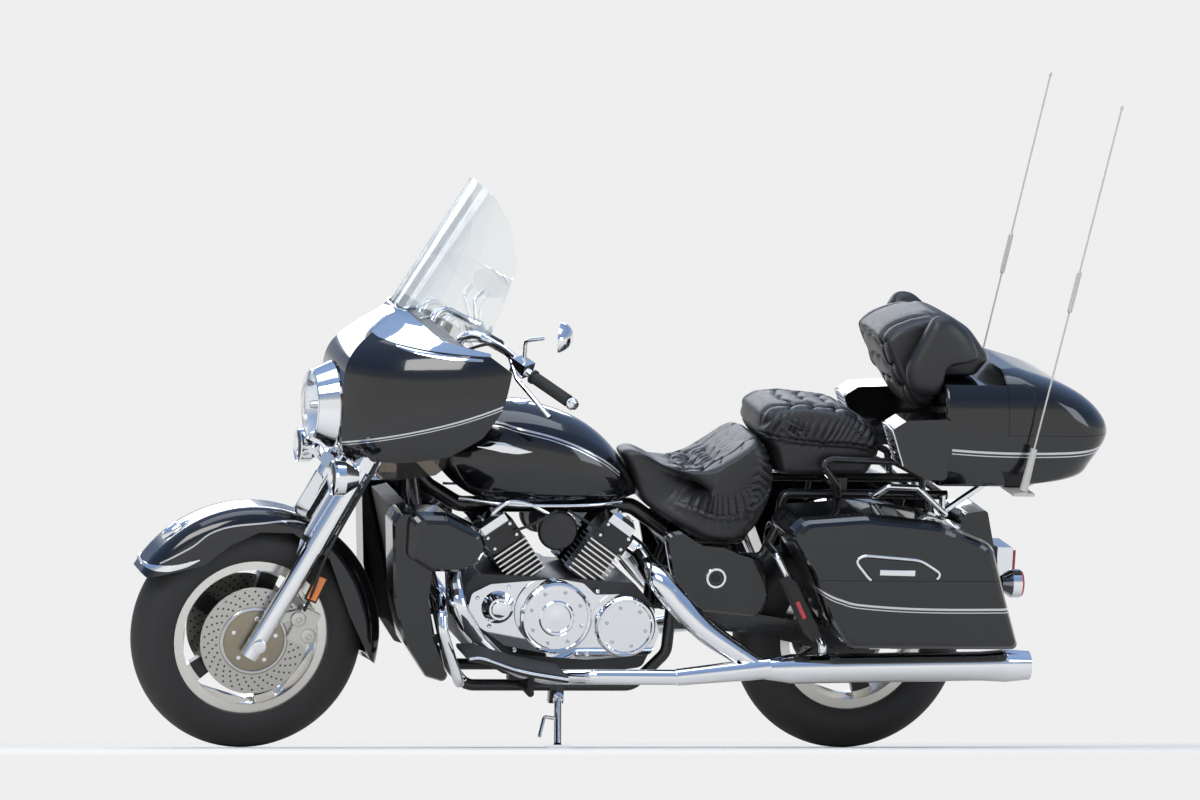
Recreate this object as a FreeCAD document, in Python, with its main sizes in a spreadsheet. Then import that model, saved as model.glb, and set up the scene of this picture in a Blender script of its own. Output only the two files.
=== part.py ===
import FreeCAD, Part
import math
import os
import Sketcher
from FreeCAD import Placement, Rotation, Vector

# Touring cruiser motorcycle, millimetres. Shapes are drawn in the bike frame: X forward from the rear axle,
# Y to the rider's left, Z up from the ground. Each Placement then leans the machine onto its side stand.

doc = FreeCAD.newDocument("touring_cruiser")
sheet = doc.addObject("Spreadsheet::Sheet", "sizes")

SIZES = (
    ("wheelbase", 1705), ("lean_angle", 13.35), ("rest_steer", 4), ("rake_angle", 29.25), ("trail", 140),
    ("front_tyre_radius", 323), ("rear_tyre_radius", 325.5), ("tyre_crown", 75),
    ("front_bead_radius", 204), ("rear_bead_radius", 191.5), ("bead_half", 46),
    ("flange_height", 13), ("flange_thickness", 6), ("bead_gap", 0.35), ("barrel_thickness", 14),
    ("web_half", 13), ("hub_radius", 46), ("front_hub_half", 85.2),
    ("rear_hub_half", 81.2), ("spoke_count", 5),
    ("front_axle_radius", 12.5), ("rear_axle_radius", 10), ("axle_bore_radius", 6), ("axle_clearance", 0.05),
    ("disc_half_spacing", 88), ("disc_radius", 149), ("disc_thickness", 5), ("disc_bore_radius", 20),
    ("rear_disc_radius", 141), ("rear_disc_place", 84),
    ("fork_half_spacing", 122), ("leg_radius", 26), ("leg_length", 300), ("cover_radius", 29),
    ("cover_length", 335), ("stanchion_radius", 21.5), ("stanchion_length", 770),
    ("lower_clamp_place", 556), ("lower_clamp_thickness", 36), ("upper_clamp_place", 702),
    ("upper_clamp_thickness", 24), ("stem_radius", 15), ("head_tube_radius", 28), ("head_tube_start", 598),
    ("head_tube_length", 98), ("fender_radius", 365), ("fender_half", 92.6), ("fender_sheet", 3),
    ("bar_radius", 11.5), ("grip_radius", 17), ("grip_length", 128), ("lever_radius", 6.5),
    ("mirror_half", 361), ("mirror_height", 1230), ("lamp_half", 199), ("lamp_radius", 47), ("lamp_depth", 66),
    ("lamp_bar_drop", 50),
    ("headlight_height", 964), ("bezel_radius", 122), ("lens_radius", 94), ("bezel_depth", 52),
    ("fairing_sheet", 4), ("trim_height", 3.2), ("screen_radius", 267), ("screen_sheet", 4), ("screen_height", 418),
    ("screen_half", 255), ("screen_tilt", 31.3), ("dash_half", 178), ("deflector_sheet", 3),
    ("frame_tube_radius", 16), ("backbone_radius", 22), ("frame_half", 130), ("cradle_height", 206),
    ("seat_gap", 0.3), ("rail_half", 122),
    ("crank_half", 150), ("cover_plate", 12), ("big_cover_radius", 100), ("big_cover_height", 46),
    ("mid_cover_radius", 86), ("mid_cover_height", 34), ("bank_angle", 35), ("barrel_half_spacing", 88),
    ("barrel_half", 50), ("barrel_core_half", 40), ("fin_count", 8), ("fin_pitch", 14), ("fin_thickness", 4.5),
    ("barrel_start", 128), ("head_length", 62), ("head_cover_length", 36), ("radiator_half", 132),
    ("radiator_thickness", 44), ("lowers_half", 318), ("lowers_inner", 172), ("pipe_radius", 21),
    ("collector_radius", 19), ("muffler_radius", 41), ("muffler_half_spacing", 318), ("guard_radius", 14),
    ("board_inner", 225), ("board_width", 165), ("board_thickness", 24), ("tank_half", 158),
    ("seat_half", 186), ("passenger_half", 172), ("backrest_half", 242), ("pod_inner", 202), ("pod_width", 112),
    ("rail_tube_radius", 10), ("bag_inner", 217), ("bag_outer", 447), ("shell_sheet", 4), ("lid_gap", 1),
    ("bag_seam", 572), ("bag_hinge_height", 700), ("trunk_half", 292), ("trunk_seam", 950),
    ("trunk_front", -172), ("trunk_lid_front", -350), ("antenna_half", 324), ("whip_radius", 2.6),
    ("coil_radius", 7), ("antenna_tip_x", -597), ("antenna_tip_z", 1874), ("rear_fender_radius", 385),
    ("rear_fender_half", 98), ("swingarm_half", 111), ("stand_radius", 11), ("stand_half", 164),
    ("stand_foot_half", 258), ("side_cover_half", 178),
)
for row, (name, number) in enumerate(SIZES, start=1):
    sheet.set("A%d" % row, name)
    sheet.set("B%d" % row, str(number))
    sheet.setAlias("B%d" % row, name)
doc.recompute()


def val(name):
    return float(sheet.get(name))


CHASSIS = "chassis"
FORK = "fork"
nodes = []


def node(obj, label, body):
    obj.Label = label
    nodes.append((obj, label, body))
    return obj


def feature(label, body, shape):
    obj = doc.addObject("Part::Feature", label)
    obj.Shape = shape
    return node(obj, label, body)


def prim(kind, name, place, **texts):
    obj = doc.addObject(kind, name)
    for key, text in texts.items():
        obj.setExpression(key, text)
    obj.Placement = place
    return obj


def joined(kind, name, **links):
    obj = doc.addObject(kind, name)
    for key, link in links.items():
        setattr(obj, key, link)
    return obj


# Shape helpers: outlines with round corners, prisms, tubes.


def corner(points, radius, closed=True):
    count = len(points)
    radii = radius if isinstance(radius, (list, tuple)) else [radius] * count
    spots = []
    for i, p in enumerate(points):
        if not closed and i in (0, count - 1) or radii[i] <= 0:
            spots.append((p, None, p))
            continue
        to_last = points[i - 1] - p
        to_next = points[(i + 1) % count] - p
        len_last = to_last.Length
        len_next = to_next.Length
        to_last = to_last * (1 / len_last)
        to_next = to_next * (1 / len_next)
        cosine = max(-1.0, min(1.0, to_last.dot(to_next)))
        half = math.acos(cosine) / 2
        if half > math.radians(89):
            spots.append((p, None, p))
            continue
        reach = min(radii[i] / math.tan(half), 0.47 * len_last, 0.47 * len_next)
        size = reach * math.tan(half)
        middle = (to_last + to_next)
        middle.normalize()
        centre = p + middle * (size / math.sin(half))
        spots.append((p + to_last * reach, centre - middle * size, p + to_next * reach))
    edges = []
    for i, (start, mid, end) in enumerate(spots):
        if i or closed:
            before = spots[i - 1][2]
            if (before - start).Length > 1e-6:
                edges.append(Part.makeLine(before, start))
        if mid is not None:
            edges.append(Part.Arc(start, mid, end).toShape())
    if closed:
        edges = edges[1:] + edges[:1] if spots[0][1] is None else edges
    return Part.Wire(Part.__sortEdges__(edges))


def side_prism(points, low, high, radius=0.0):
    wire = corner([Vector(x, low, z) for x, z in points], radius)
    return Part.Face(wire).extrude(Vector(0, high - low, 0))


def plan_prism(points, low, high, radius=0.0):
    wire = corner([Vector(x, y, low) for x, y in points], radius)
    return Part.Face(wire).extrude(Vector(0, 0, high - low))


def front_prism(points, low, high, radius=0.0):
    wire = corner([Vector(low, y, z) for y, z in points], radius)
    return Part.Face(wire).extrude(Vector(high - low, 0, 0))


def inset_ring(points, y, take, radius):
    """Side outline at one depth, its points drawn in towards the middle by the given length."""
    middle_x = sum(p[0] for p in points) / len(points)
    middle_z = sum(p[1] for p in points) / len(points)
    reach_x = max(abs(p[0] - middle_x) for p in points)
    reach_z = max(abs(p[1] - middle_z) for p in points)
    ring = [Vector(middle_x + (px - middle_x) * (1 - take / reach_x), y,
                   middle_z + (pz - middle_z) * (1 - take / reach_z)) for px, pz in points]
    return corner(ring, radius)


def slab(points, steps, grow, radius):
    """Panel between side outlines: steps are (depth, inset) rows, grow swells or shrinks all of them."""
    return Part.makeLoft([inset_ring(points, y, inset - grow, radius) for y, inset in steps], True, True)


def pillow(points, half, edge, inset, radius):
    """Cushion with flat sides drawn in at its outer edges."""
    steps = ((-half, inset), (-half + edge * 0.35, inset * 0.3), (-half + edge, 0), (half - edge, 0),
             (half - edge * 0.35, inset * 0.3), (half, inset))
    return slab(points, steps, 0, radius)


def mirrored(shape):
    return shape.mirror(Vector(0, 0, 0), Vector(0, 1, 0))


def both(shape):
    return Part.makeCompound([shape, mirrored(shape)])


def one(shape):
    if shape.ShapeType == "Solid":
        return shape
    return max(shape.Solids, key=lambda s: s.Volume)


def tube(points, radius, bend):
    path = corner([Vector(*p) for p in points], bend, closed=False)
    first = Vector(*points[0])
    ahead = Vector(*points[1]) - first
    ring = Part.Wire(Part.Circle(first, ahead, radius).toShape())
    return one(path.makePipeShell([ring], True, False))


def rod(start, end, radius):
    a = Vector(*start)
    ahead = Vector(*end) - a
    return Part.makeCylinder(radius, ahead.Length, a, ahead)


def fuse(*shapes):
    shape = shapes[0].fuse(list(shapes[1:]))
    return shape.removeSplitter()


# Steering geometry.

RAKE = math.radians(val("rake_angle"))
OFFSET = val("front_tyre_radius") * math.sin(RAKE) - val("trail") * math.cos(RAKE)
AXLE = Vector(val("wheelbase"), 0, val("front_tyre_radius"))
UP = Vector(-math.sin(RAKE), 0, math.cos(RAKE))
AHEAD = Vector(math.cos(RAKE), 0, math.sin(RAKE))
PIVOT = AXLE - AHEAD * OFFSET
HUB = Vector(0, 0, val("rear_tyre_radius"))


def fork_point(up, ahead, y):
    return PIVOT + UP * up + AHEAD * ahead + Vector(0, y, 0)


# Wheels: torus tyre with a bead ring, rim and spokes by a turned section and windows.


def make_tyre(label, body, size, bead, centre):
    turn = Rotation(Vector(1, 0, 0), -90)
    ring = prim("Part::Torus", label + "_crown", Placement(centre, turn),
                Radius1="sizes.%s - sizes.tyre_crown" % size, Radius2="sizes.tyre_crown")
    flange = "sizes.%s + sizes.flange_height + sizes.bead_gap" % bead
    wide = val("tyre_crown") + 10
    hole = prim("Part::Cylinder", label + "_opening", Placement(centre - Vector(0, wide, 0), turn),
                Radius=flange, Height="2 * (sizes.tyre_crown + 10)")
    crown = joined("Part::Cut", label + "_side", Base=ring, Tool=hole)
    half = val("bead_half")
    outer = prim("Part::Cylinder", label + "_bead", Placement(centre - Vector(0, half, 0), turn),
                 Radius=flange + " + 6", Height="2 * sizes.bead_half")
    inner = prim("Part::Cylinder", label + "_seat", Placement(centre - Vector(0, wide, 0), turn),
                 Radius="sizes." + bead, Height="2 * (sizes.tyre_crown + 10)")
    bead_ring = joined("Part::Cut", label + "_bead_ring", Base=outer, Tool=inner)
    node(joined("Part::Fuse", label, Base=crown, Tool=bead_ring), label, body)


def make_rim(label, body, bead, axle, centre, hub_half):
    part = doc.addObject("PartDesign::Body", label)
    planes = {f.Role: f for f in part.Origin.OriginFeatures}
    section = part.newObject("Sketcher::SketchObject", label + "_section")
    section.AttachmentSupport = [(planes["XY_Plane"], "")]
    section.MapMode = "FlatFace"
    bore = "(sizes.%s + sizes.axle_clearance)" % axle
    seat = "(sizes.%s - sizes.bead_gap)" % bead
    barrel = "(sizes.%s - sizes.barrel_thickness)" % bead
    flange = "(sizes.%s + sizes.flange_height)" % bead
    inside = "(sizes.bead_half + sizes.bead_gap)"
    outside = "(sizes.bead_half + sizes.bead_gap + sizes.flange_thickness)"
    r_bore = val(axle) + val("axle_clearance")
    r_seat = val(bead) - val("bead_gap")
    r_barrel = val(bead) - val("barrel_thickness")
    r_flange = val(bead) + val("flange_height")
    in_y = val("bead_half") + val("bead_gap")
    out_y = in_y + val("flange_thickness")
    upper = [
        (bore, r_bore, "sizes." + hub_half, val(hub_half)),
        ("sizes.hub_radius", val("hub_radius"), "sizes." + hub_half, val(hub_half)),
        ("sizes.hub_radius", val("hub_radius"), "sizes.web_half", val("web_half")),
        (barrel, r_barrel, "sizes.web_half", val("web_half")),
        (barrel, r_barrel, outside, out_y),
        (flange, r_flange, outside, out_y),
        (flange, r_flange, inside, in_y),
        (seat, r_seat, inside, in_y),
    ]
    corners = upper + [(a, b, "-" + c, -d) for a, b, c, d in reversed(upper)]
    count = len(corners)
    for i in range(count):
        here = corners[i]
        after = corners[(i + 1) % count]
        section.addGeometry(Part.LineSegment(Vector(here[1], here[3], 0), Vector(after[1], after[3], 0)), False)
    for i in range(count):
        section.addConstraint(Sketcher.Constraint("Coincident", i, 2, (i + 1) % count, 1))
    for i, (x_text, x_now, y_text, y_now) in enumerate(corners):
        index = section.addConstraint(Sketcher.Constraint("DistanceX", -1, 1, i, 1, x_now))
        section.setExpression("Constraints[%d]" % index, x_text)
        index = section.addConstraint(Sketcher.Constraint("DistanceY", -1, 1, i, 1, y_now))
        section.setExpression("Constraints[%d]" % index, y_text)
    turned = part.newObject("PartDesign::Revolution", label + "_turned")
    turned.Profile = section
    turned.ReferenceAxis = (section, ["V_Axis"])
    turned.Angle = 360
    doc.recompute()
    window = part.newObject("Sketcher::SketchObject", label + "_window")
    window.AttachmentSupport = [(planes["XZ_Plane"], "")]
    window.MapMode = "FlatFace"
    r_low = val("hub_radius") + 22
    r_high = r_barrel - 8
    low_half = r_low * math.tan(math.radians(20))
    high_half = r_high * math.tan(math.radians(27))
    shape = [(r_low, -low_half), (r_high * 0.97, -high_half), (r_high * 0.97, high_half), (r_low, low_half)]
    for i in range(4):
        here = shape[i]
        after = shape[(i + 1) % 4]
        window.addGeometry(Part.LineSegment(Vector(here[0], here[1], 0), Vector(after[0], after[1], 0)), False)
    for i in range(4):
        window.addConstraint(Sketcher.Constraint("Coincident", i, 2, (i + 1) % 4, 1))
    windows = part.newObject("PartDesign::Pocket", label + "_opening")
    windows.Profile = window
    windows.Midplane = True
    windows.Length = 4 * val("web_half")
    doc.recompute()
    spread = part.newObject("PartDesign::PolarPattern", label + "_openings")
    spread.Originals = [windows]
    spread.Axis = (planes["Y_Axis"], [""])
    spread.Angle = 360
    spread.setExpression("Occurrences", "sizes.spoke_count")
    part.Tip = spread
    doc.recompute()
    part.Placement = Placement(centre, Rotation())
    node(part, label, body)


make_tyre("front_tyre", "front_wheel", "front_tyre_radius", "front_bead_radius", AXLE)
make_rim("front_rim", "front_wheel", "front_bead_radius", "front_axle_radius", AXLE, "front_hub_half")
make_tyre("rear_tyre", "rear_wheel", "rear_tyre_radius", "rear_bead_radius", HUB)
make_rim("rear_rim", "rear_wheel", "rear_bead_radius", "rear_axle_radius", HUB, "rear_hub_half")


def make_disc(name, centre, y, radius):
    turn = Rotation(Vector(1, 0, 0), -90)
    thick = val("disc_thickness")
    plate = prim("Part::Cylinder", name + "_plate", Placement(centre + Vector(0, y - thick / 2, 0), turn),
                 Radius="sizes." + radius, Height="sizes.disc_thickness")
    hole = prim("Part::Cylinder", name + "_hole", Placement(centre + Vector(0, y - thick, 0), turn),
                Radius="sizes.disc_bore_radius", Height="2 * sizes.disc_thickness")
    return joined("Part::Cut", name, Base=plate, Tool=hole)


left_disc = make_disc("left_disc", AXLE, val("disc_half_spacing"), "disc_radius")
right_disc = make_disc("right_disc", AXLE, -val("disc_half_spacing"), "disc_radius")
node(joined("Part::Compound", "front_discs", Links=[left_disc, right_disc]), "front_discs", "front_wheel")
node(make_disc("rear_disc", HUB, -val("rear_disc_place"), "rear_disc_radius"), "rear_disc", "rear_wheel")

# Fork: legs, covers, clamps, stem and hollow axle in one.


def fork_rod(up, ahead, y, length, radius):
    return Part.makeCylinder(radius, length, fork_point(up, ahead, y), UP)


def clamp(start, thick, back, front, half):
    outline = [fork_point(start, a, y) for a, y in
               ((back, -40), (back, 40), (OFFSET - 26, half), (front, half), (front + 12, 0), (front, -half),
                (OFFSET - 26, -half))]
    return Part.Face(corner(outline, 14)).extrude(UP * thick)


parts = []
for side in (1, -1):
    y = side * val("fork_half_spacing")
    parts.append(fork_rod(-42, OFFSET, y, 42 + val("leg_length"), val("leg_radius")))
    parts.append(fork_rod(val("leg_length"), OFFSET, y, val("cover_length"), val("cover_radius")))
    parts.append(fork_rod(val("leg_length"), OFFSET, y, val("upper_clamp_place") + 20 - val("leg_length"),
                          val("stanchion_radius")))
wide = val("fork_half_spacing") + 34
parts.append(clamp(val("lower_clamp_place"), val("lower_clamp_thickness"), -34, OFFSET + 30, wide))
parts.append(clamp(val("upper_clamp_place"), val("upper_clamp_thickness"), -34, OFFSET + 26, wide - 6))
parts.append(fork_rod(val("lower_clamp_place") + 5, 0, 0,
                      val("upper_clamp_place") - val("lower_clamp_place") + 5, val("stem_radius")))
axle_half = val("fork_half_spacing") + val("leg_radius") + 6
parts.append(rod((AXLE.x, -axle_half, AXLE.z), (AXLE.x, axle_half, AXLE.z), val("front_axle_radius")))
for side in (1, -1):
    start = side * (val("disc_half_spacing") + 5)
    parts.append(rod((AXLE.x, start, AXLE.z), (AXLE.x, side * 100, AXLE.z), val("disc_bore_radius") - 1))
for side in (1, -1):
    parts.append(Part.makeCylinder(10, 30.7, fork_point(574, OFFSET + 20, side * 60), AHEAD))
    parts.append(tube([(1436, side * 30, 838), (1464, side * 30, 905), (1503.6, side * 30, 905)], 7, 12))
fork = fuse(*parts)
fork = fork.cut(rod((AXLE.x, -200, AXLE.z), (AXLE.x, 200, AXLE.z), val("axle_bore_radius")))
feature("fork", FORK, one(fork))

# Front fender: turned U section trimmed by its side outline.


def turned_u(centre, outer, half, sheet_size, depth, radius):
    x = centre.x
    z = centre.z
    low = outer - depth
    shape = [Vector(x, -half, z + low), Vector(x, -half, z + outer), Vector(x, half, z + outer),
             Vector(x, half, z + low), Vector(x, half - sheet_size, z + low),
             Vector(x, half - sheet_size, z + outer - sheet_size),
             Vector(x, -half + sheet_size, z + outer - sheet_size), Vector(x, -half + sheet_size, z + low)]
    wire = corner(shape, [0, radius, radius, 0, 0, radius - sheet_size, radius - sheet_size, 0])
    return Part.Face(wire)


FENDER_SIDE = ((2010, 500), (1949, 514), (1853, 536), (1786, 590), (1704, 628), (1610, 625), (1504, 552),
               (1438, 390), (1372, 262), (1336, 233), (1300, 300), (1320, 500), (1450, 700), (1740, 760),
               (1960, 680), (2060, 540))
profile = turned_u(AXLE, val("fender_radius"), val("fender_half"), val("fender_sheet"), 112, 76)
ring = profile.revolve(AXLE, Vector(0, 1, 0), 360)
fender = ring.common(side_prism(FENDER_SIDE, -120, 120))
feature("front_fender", FORK, one(fender))

# Handlebar with levers and switch boxes, grips, mirrors.

bar_top = fork_point(val("upper_clamp_place") + val("upper_clamp_thickness") + 36, 0, 0)
BAR = ((bar_top.x, 0, bar_top.z), (bar_top.x, 66, bar_top.z), (1165, 160, 1206), (1072, 208, 1158),
       (1010, 265, 1101), (915, 395, 1043))
GRIP_IN = Vector(1010, 265, 1101)
GRIP_OUT = Vector(915, 395, 1043)
grip_line = GRIP_OUT - GRIP_IN
grip_line.normalize()
halves = []
switch_zones = []
for side in (1, -1):
    points = [(x, side * y, z) for x, y, z in BAR]
    points[-1] = tuple(Vector(points[-2]) + (Vector(points[-1]) - Vector(points[-2])) * 0.96)
    halves.append(tube(points, val("bar_radius"), 45))
    risen = fork_point(val("upper_clamp_place") + val("upper_clamp_thickness") + 0.3, 0, side * 48)
    halves.append(Part.makeCylinder(12, 36, risen, UP))
    box_mid = Vector(1033, side * 242, 1122)
    box = Part.makeBox(44, 46, 40, Vector(-22, -23, -20))
    turn = Rotation(Vector(0, 1, 0), Vector(grip_line.x, side * grip_line.y, grip_line.z))
    box.Placement = Placement(box_mid, turn)
    halves.append(box)
    fit = val("seat_gap")
    zone = Part.makeBox(44 + 2 * fit, 46 + 2 * fit, 40 + 2 * fit, Vector(-22 - fit, -23 - fit, -20 - fit))
    zone.Placement = box.Placement
    switch_zones.append(zone)
    halves.append(tube([(1062, side * 222, 1140), (1052, side * 262, 1092), (985, side * 372, 1010)],
                       val("lever_radius"), 25))
feature("handlebar", FORK, one(fuse(*halves)))

grips = []
for side in (1, -1):
    base = GRIP_IN + grip_line * 8
    line = Vector(grip_line.x, side * grip_line.y, grip_line.z)
    start = Vector(base.x, side * base.y, base.z)
    sleeve = Part.makeCylinder(val("grip_radius"), val("grip_length"), start, line)
    bore = Part.makeCylinder(val("bar_radius") + 0.3, 0.985 * Vector(BAR[-1][0] - BAR[-2][0], BAR[-1][1]
                             - BAR[-2][1], BAR[-1][2] - BAR[-2][2]).Length - 8, start, line)
    grips.append(sleeve.cut(bore))
feature("grips", FORK, Part.makeCompound(grips))

mirrors = []
for side in (1, -1):
    centre = Vector(976, side * val("mirror_half"), val("mirror_height"))
    head = Part.makeSphere(1)
    matrix = FreeCAD.Matrix()
    matrix.scale(46, 78, 42)
    head = head.transformGeometry(matrix)
    head = head.common(Part.makeBox(80, 200, 120, Vector(-10, -100, -60)))
    head.Placement = Placement(centre, Rotation(Vector(0, 0, 1), -side * 22))
    foot = tube([(1030, side * 248, 1126), (1036, side * 268, 1200), (988, side * 330, 1222)], 5.5, 20)
    mirrors.append(one(fuse(head, foot).cut(switch_zones[0 if side > 0 else 1])))
feature("mirrors", FORK, Part.makeCompound(mirrors))

# Passing lamps on a flat bar ahead of the lower clamp.

bar_mid = fork_point(val("lower_clamp_place") + 18 - val("lamp_bar_drop"), OFFSET + 56, 0)
bar_place = Placement(Vector(bar_mid.x, 0, bar_mid.z), Rotation(Vector(0, 1, 0), -val("rake_angle")))


def riser(y, grow):
    """One of the two strips that carry the lamp bar, grown evenly, at its place on the fork."""
    strip = Part.makeBox(5 + 2 * grow, 24 + 2 * grow, val("lamp_bar_drop") + 25 + 2 * grow,
                         Vector(-5 - grow, y - 12 - grow, -17 - grow))
    strip.Placement = bar_place
    return strip


lamp_bar = Part.makeBox(10, 2 * val("lamp_half"), 34, Vector(-5, -val("lamp_half"), -17))
lamp_bar.Placement = bar_place
lamp_bar = fuse(lamp_bar, riser(60, 0), riser(-60, 0))
lamps = [lamp_bar]
for side in (1, -1):
    seat = (1476, side * val("lamp_half"), 804)
    lamps.append(Part.makeCylinder(val("lamp_radius"), val("lamp_depth") * 0.4,
                                   Vector(1506, seat[1], 804), Vector(1, 0, 0)))
    lamps.append(Part.makeCone(val("lamp_radius") * 0.5, val("lamp_radius"), val("lamp_depth") * 0.6,
                               Vector(1506 - val("lamp_depth") * 0.6, seat[1], 804), Vector(1, 0, 0)))
feature("passing_lamps", FORK, one(fuse(*lamps)))

calipers = []
for side in (1, -1):
    y = side * val("disc_half_spacing")
    body = Part.makeBox(58, 36, 98, Vector(-29, -18, -49))
    body.Placement = Placement(Vector(1570, y, 364), Rotation(Vector(0, 1, 0), -25))
    lug = Part.makeBox(90, 8, 26, Vector(-32, -4, -13))
    lug.Placement = Placement(Vector(1612, side * (val("disc_half_spacing") + 11), 392),
                              Rotation(Vector(0, 1, 0), 12))
    slot = Part.makeCylinder(val("disc_radius") + 3, 8, Vector(AXLE.x, y - 4, AXLE.z), Vector(0, 1, 0))
    leg = fork_rod(-42, OFFSET, side * val("fork_half_spacing"), 400, val("leg_radius") + val("seat_gap"))
    calipers.append(one(fuse(body, lug).cut(slot).cut(leg)))
feature("front_calipers", FORK, Part.makeCompound(calipers))

# Upper fairing: level sections, hollow, trimmed by its side outline.

FAIRING_LEVELS = (
    # level, nose x, nose half, shoulder x, shoulder half, wing x, wing half
    (830, 1470, 90, 1390, 180, 1200, 268),
    (900, 1497, 118, 1400, 215, 1110, 300),
    (965, 1499, 120, 1405, 228, 1050, 320),
    (1040, 1499, 120, 1405, 230, 1045, 325),
    (1100, 1490, 112, 1395, 222, 1045, 318),
    (1165, 1440, 90, 1350, 200, 1050, 292),
    (1245, 1342, 50, 1285, 150, 1095, 240),
)
FAIRING_SIDE = ((1560, 1085), (1402, 1210), (1345, 1250), (1276, 1190), (1138, 1160), (1081, 1120), (1104, 1023),
                (1155, 940), (1235, 879), (1344, 850), (1432, 840), (1512, 836), (1560, 850))


def circle_of(a, b, c):
    """Centre and radius of the circle through three points of one level."""
    d = 2 * (a.x * (b.y - c.y) + b.x * (c.y - a.y) + c.x * (a.y - b.y))
    aa = a.x ** 2 + a.y ** 2
    bb = b.x ** 2 + b.y ** 2
    cc = c.x ** 2 + c.y ** 2
    ux = (aa * (b.y - c.y) + bb * (c.y - a.y) + cc * (a.y - b.y)) / d
    uy = (aa * (c.x - b.x) + bb * (a.x - c.x) + cc * (b.x - a.x)) / d
    return Vector(ux, uy, a.z), math.hypot(a.x - ux, a.y - uy)


def meet(first, first_size, second, second_size, near):
    """Crossing of two circles of one level that lies nearest to a point."""
    gap = math.hypot(second.x - first.x, second.y - first.y)
    along_it = (gap ** 2 + first_size ** 2 - second_size ** 2) / (2 * gap)
    off = math.sqrt(max(0.0, first_size ** 2 - along_it ** 2))
    ex = (second.x - first.x) / gap
    ey = (second.y - first.y) / gap
    spots = [Vector(first.x + ex * along_it - s * ey * off, first.y + ey * along_it + s * ex * off, first.z)
             for s in (1, -1)]
    return min(spots, key=lambda v: (v - near).Length)


def on_circle(centre, size, start, end):
    middle = (start - centre) + (end - centre)
    middle.z = 0
    middle.normalize()
    return Vector(centre.x + middle.x * size, centre.y + middle.y * size, start.z)


def fairing_ring(row, grow, level):
    """One level outline of the fairing, grown or shrunk evenly, closed by a straight line at the rear."""
    z, nose, nose_y, shoulder, shoulder_y, wing, wing_y = row
    a = Vector(wing, wing_y, level)
    b = Vector(shoulder, shoulder_y, level)
    c = Vector(nose, nose_y, level)
    flank, flank_size = circle_of(a, b, c)
    front, front_size = circle_of(c, Vector(nose + 3, 0, level), Vector(nose, -nose_y, level))
    flank_size += grow
    front_size += grow
    c = meet(flank, flank_size, front, front_size, c)
    a = Vector(wing, flank.y + math.sqrt(flank_size ** 2 - (wing - flank.x) ** 2), level)
    b = on_circle(flank, flank_size, a, c)
    d = on_circle(front, front_size, c, Vector(c.x, -c.y, level))
    e, f, g = [Vector(v.x, -v.y, level) for v in (c, b, a)]
    edges = [Part.Arc(a, b, c).toShape(), Part.Arc(c, d, e).toShape(), Part.Arc(e, f, g).toShape(),
             Part.makeLine(g, a)]
    return Part.Wire(edges)


def fairing_block(grow, extra_low, extra_high):
    """The fairing's filled form, grown evenly, with straight ends added below and above."""
    block = Part.makeLoft([fairing_ring(row, grow, row[0]) for row in FAIRING_LEVELS], True, False)
    for row, extra in ((FAIRING_LEVELS[0], -extra_low), (FAIRING_LEVELS[-1], extra_high)):
        if extra:
            block = block.fuse(Part.Face(fairing_ring(row, grow, row[0])).extrude(Vector(0, 0, extra)))
    return block


shell = fairing_block(0, 0, 0).cut(fairing_block(-val("fairing_sheet"), 12, 14))
shell = shell.common(side_prism(FAIRING_SIDE, -400, 400))
hole = Part.makeCylinder(val("bezel_radius") - 10, 80, Vector(1450, 0, val("headlight_height")), Vector(1, 0, 0))
notches = [fork_rod(val("leg_length"), OFFSET, side * val("fork_half_spacing"), val("cover_length") + 10,
                    val("cover_radius") + 5) for side in (1, -1)]
notches.append(clamp(val("lower_clamp_place") - 6, val("lower_clamp_thickness") + 12, -34, OFFSET + 30,
                     wide + 7))
notches += [riser(60, 2), riser(-60, 2)]
feature("fairing", FORK, one(shell.cut(hole).cut(fuse(*notches))))

band_side = ((1408, 1178), (1440, 1200), (1345, 1262), (1262, 1192), (1138, 1168), (1138, 1161), (1290, 1166),
             (1372, 1172))
band = fairing_block(val("trim_height"), 0, 0).cut(fairing_block(val("seat_gap"), 12, 14))
band = band.common(side_prism(band_side, -400, 400))

bezel_start = 1503.5
bezel = Part.makeCone(val("bezel_radius"), val("lens_radius") + 4, val("bezel_depth"),
                      Vector(bezel_start, 0, val("headlight_height")), Vector(1, 0, 0))
sleeve = Part.makeCylinder(val("bezel_radius") - 10.5, bezel_start - 1462,
                           Vector(1462, 0, val("headlight_height")), Vector(1, 0, 0))
bezel = bezel.fuse(sleeve).cut(Part.makeCylinder(val("lens_radius") + 0.5, 120,
                                                 Vector(1455, 0, val("headlight_height")), Vector(1, 0, 0)))
feature("fairing_trim", FORK, Part.makeCompound([one(band), one(bezel)]))
sag = 24.0
lens_ball = (val("lens_radius") ** 2 + sag ** 2) / (2 * sag)
lens = Part.makeSphere(lens_ball, Vector(1578 - lens_ball, 0, val("headlight_height")))
lens = lens.common(Part.makeCylinder(val("lens_radius"), 90, Vector(1552, 0, val("headlight_height")),
                                     Vector(1, 0, 0)))
backing = Part.makeCylinder(val("lens_radius"), 50, Vector(1504, 0, val("headlight_height")), Vector(1, 0, 0))
feature("headlight", FORK, one(fuse(lens, backing)))

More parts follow.
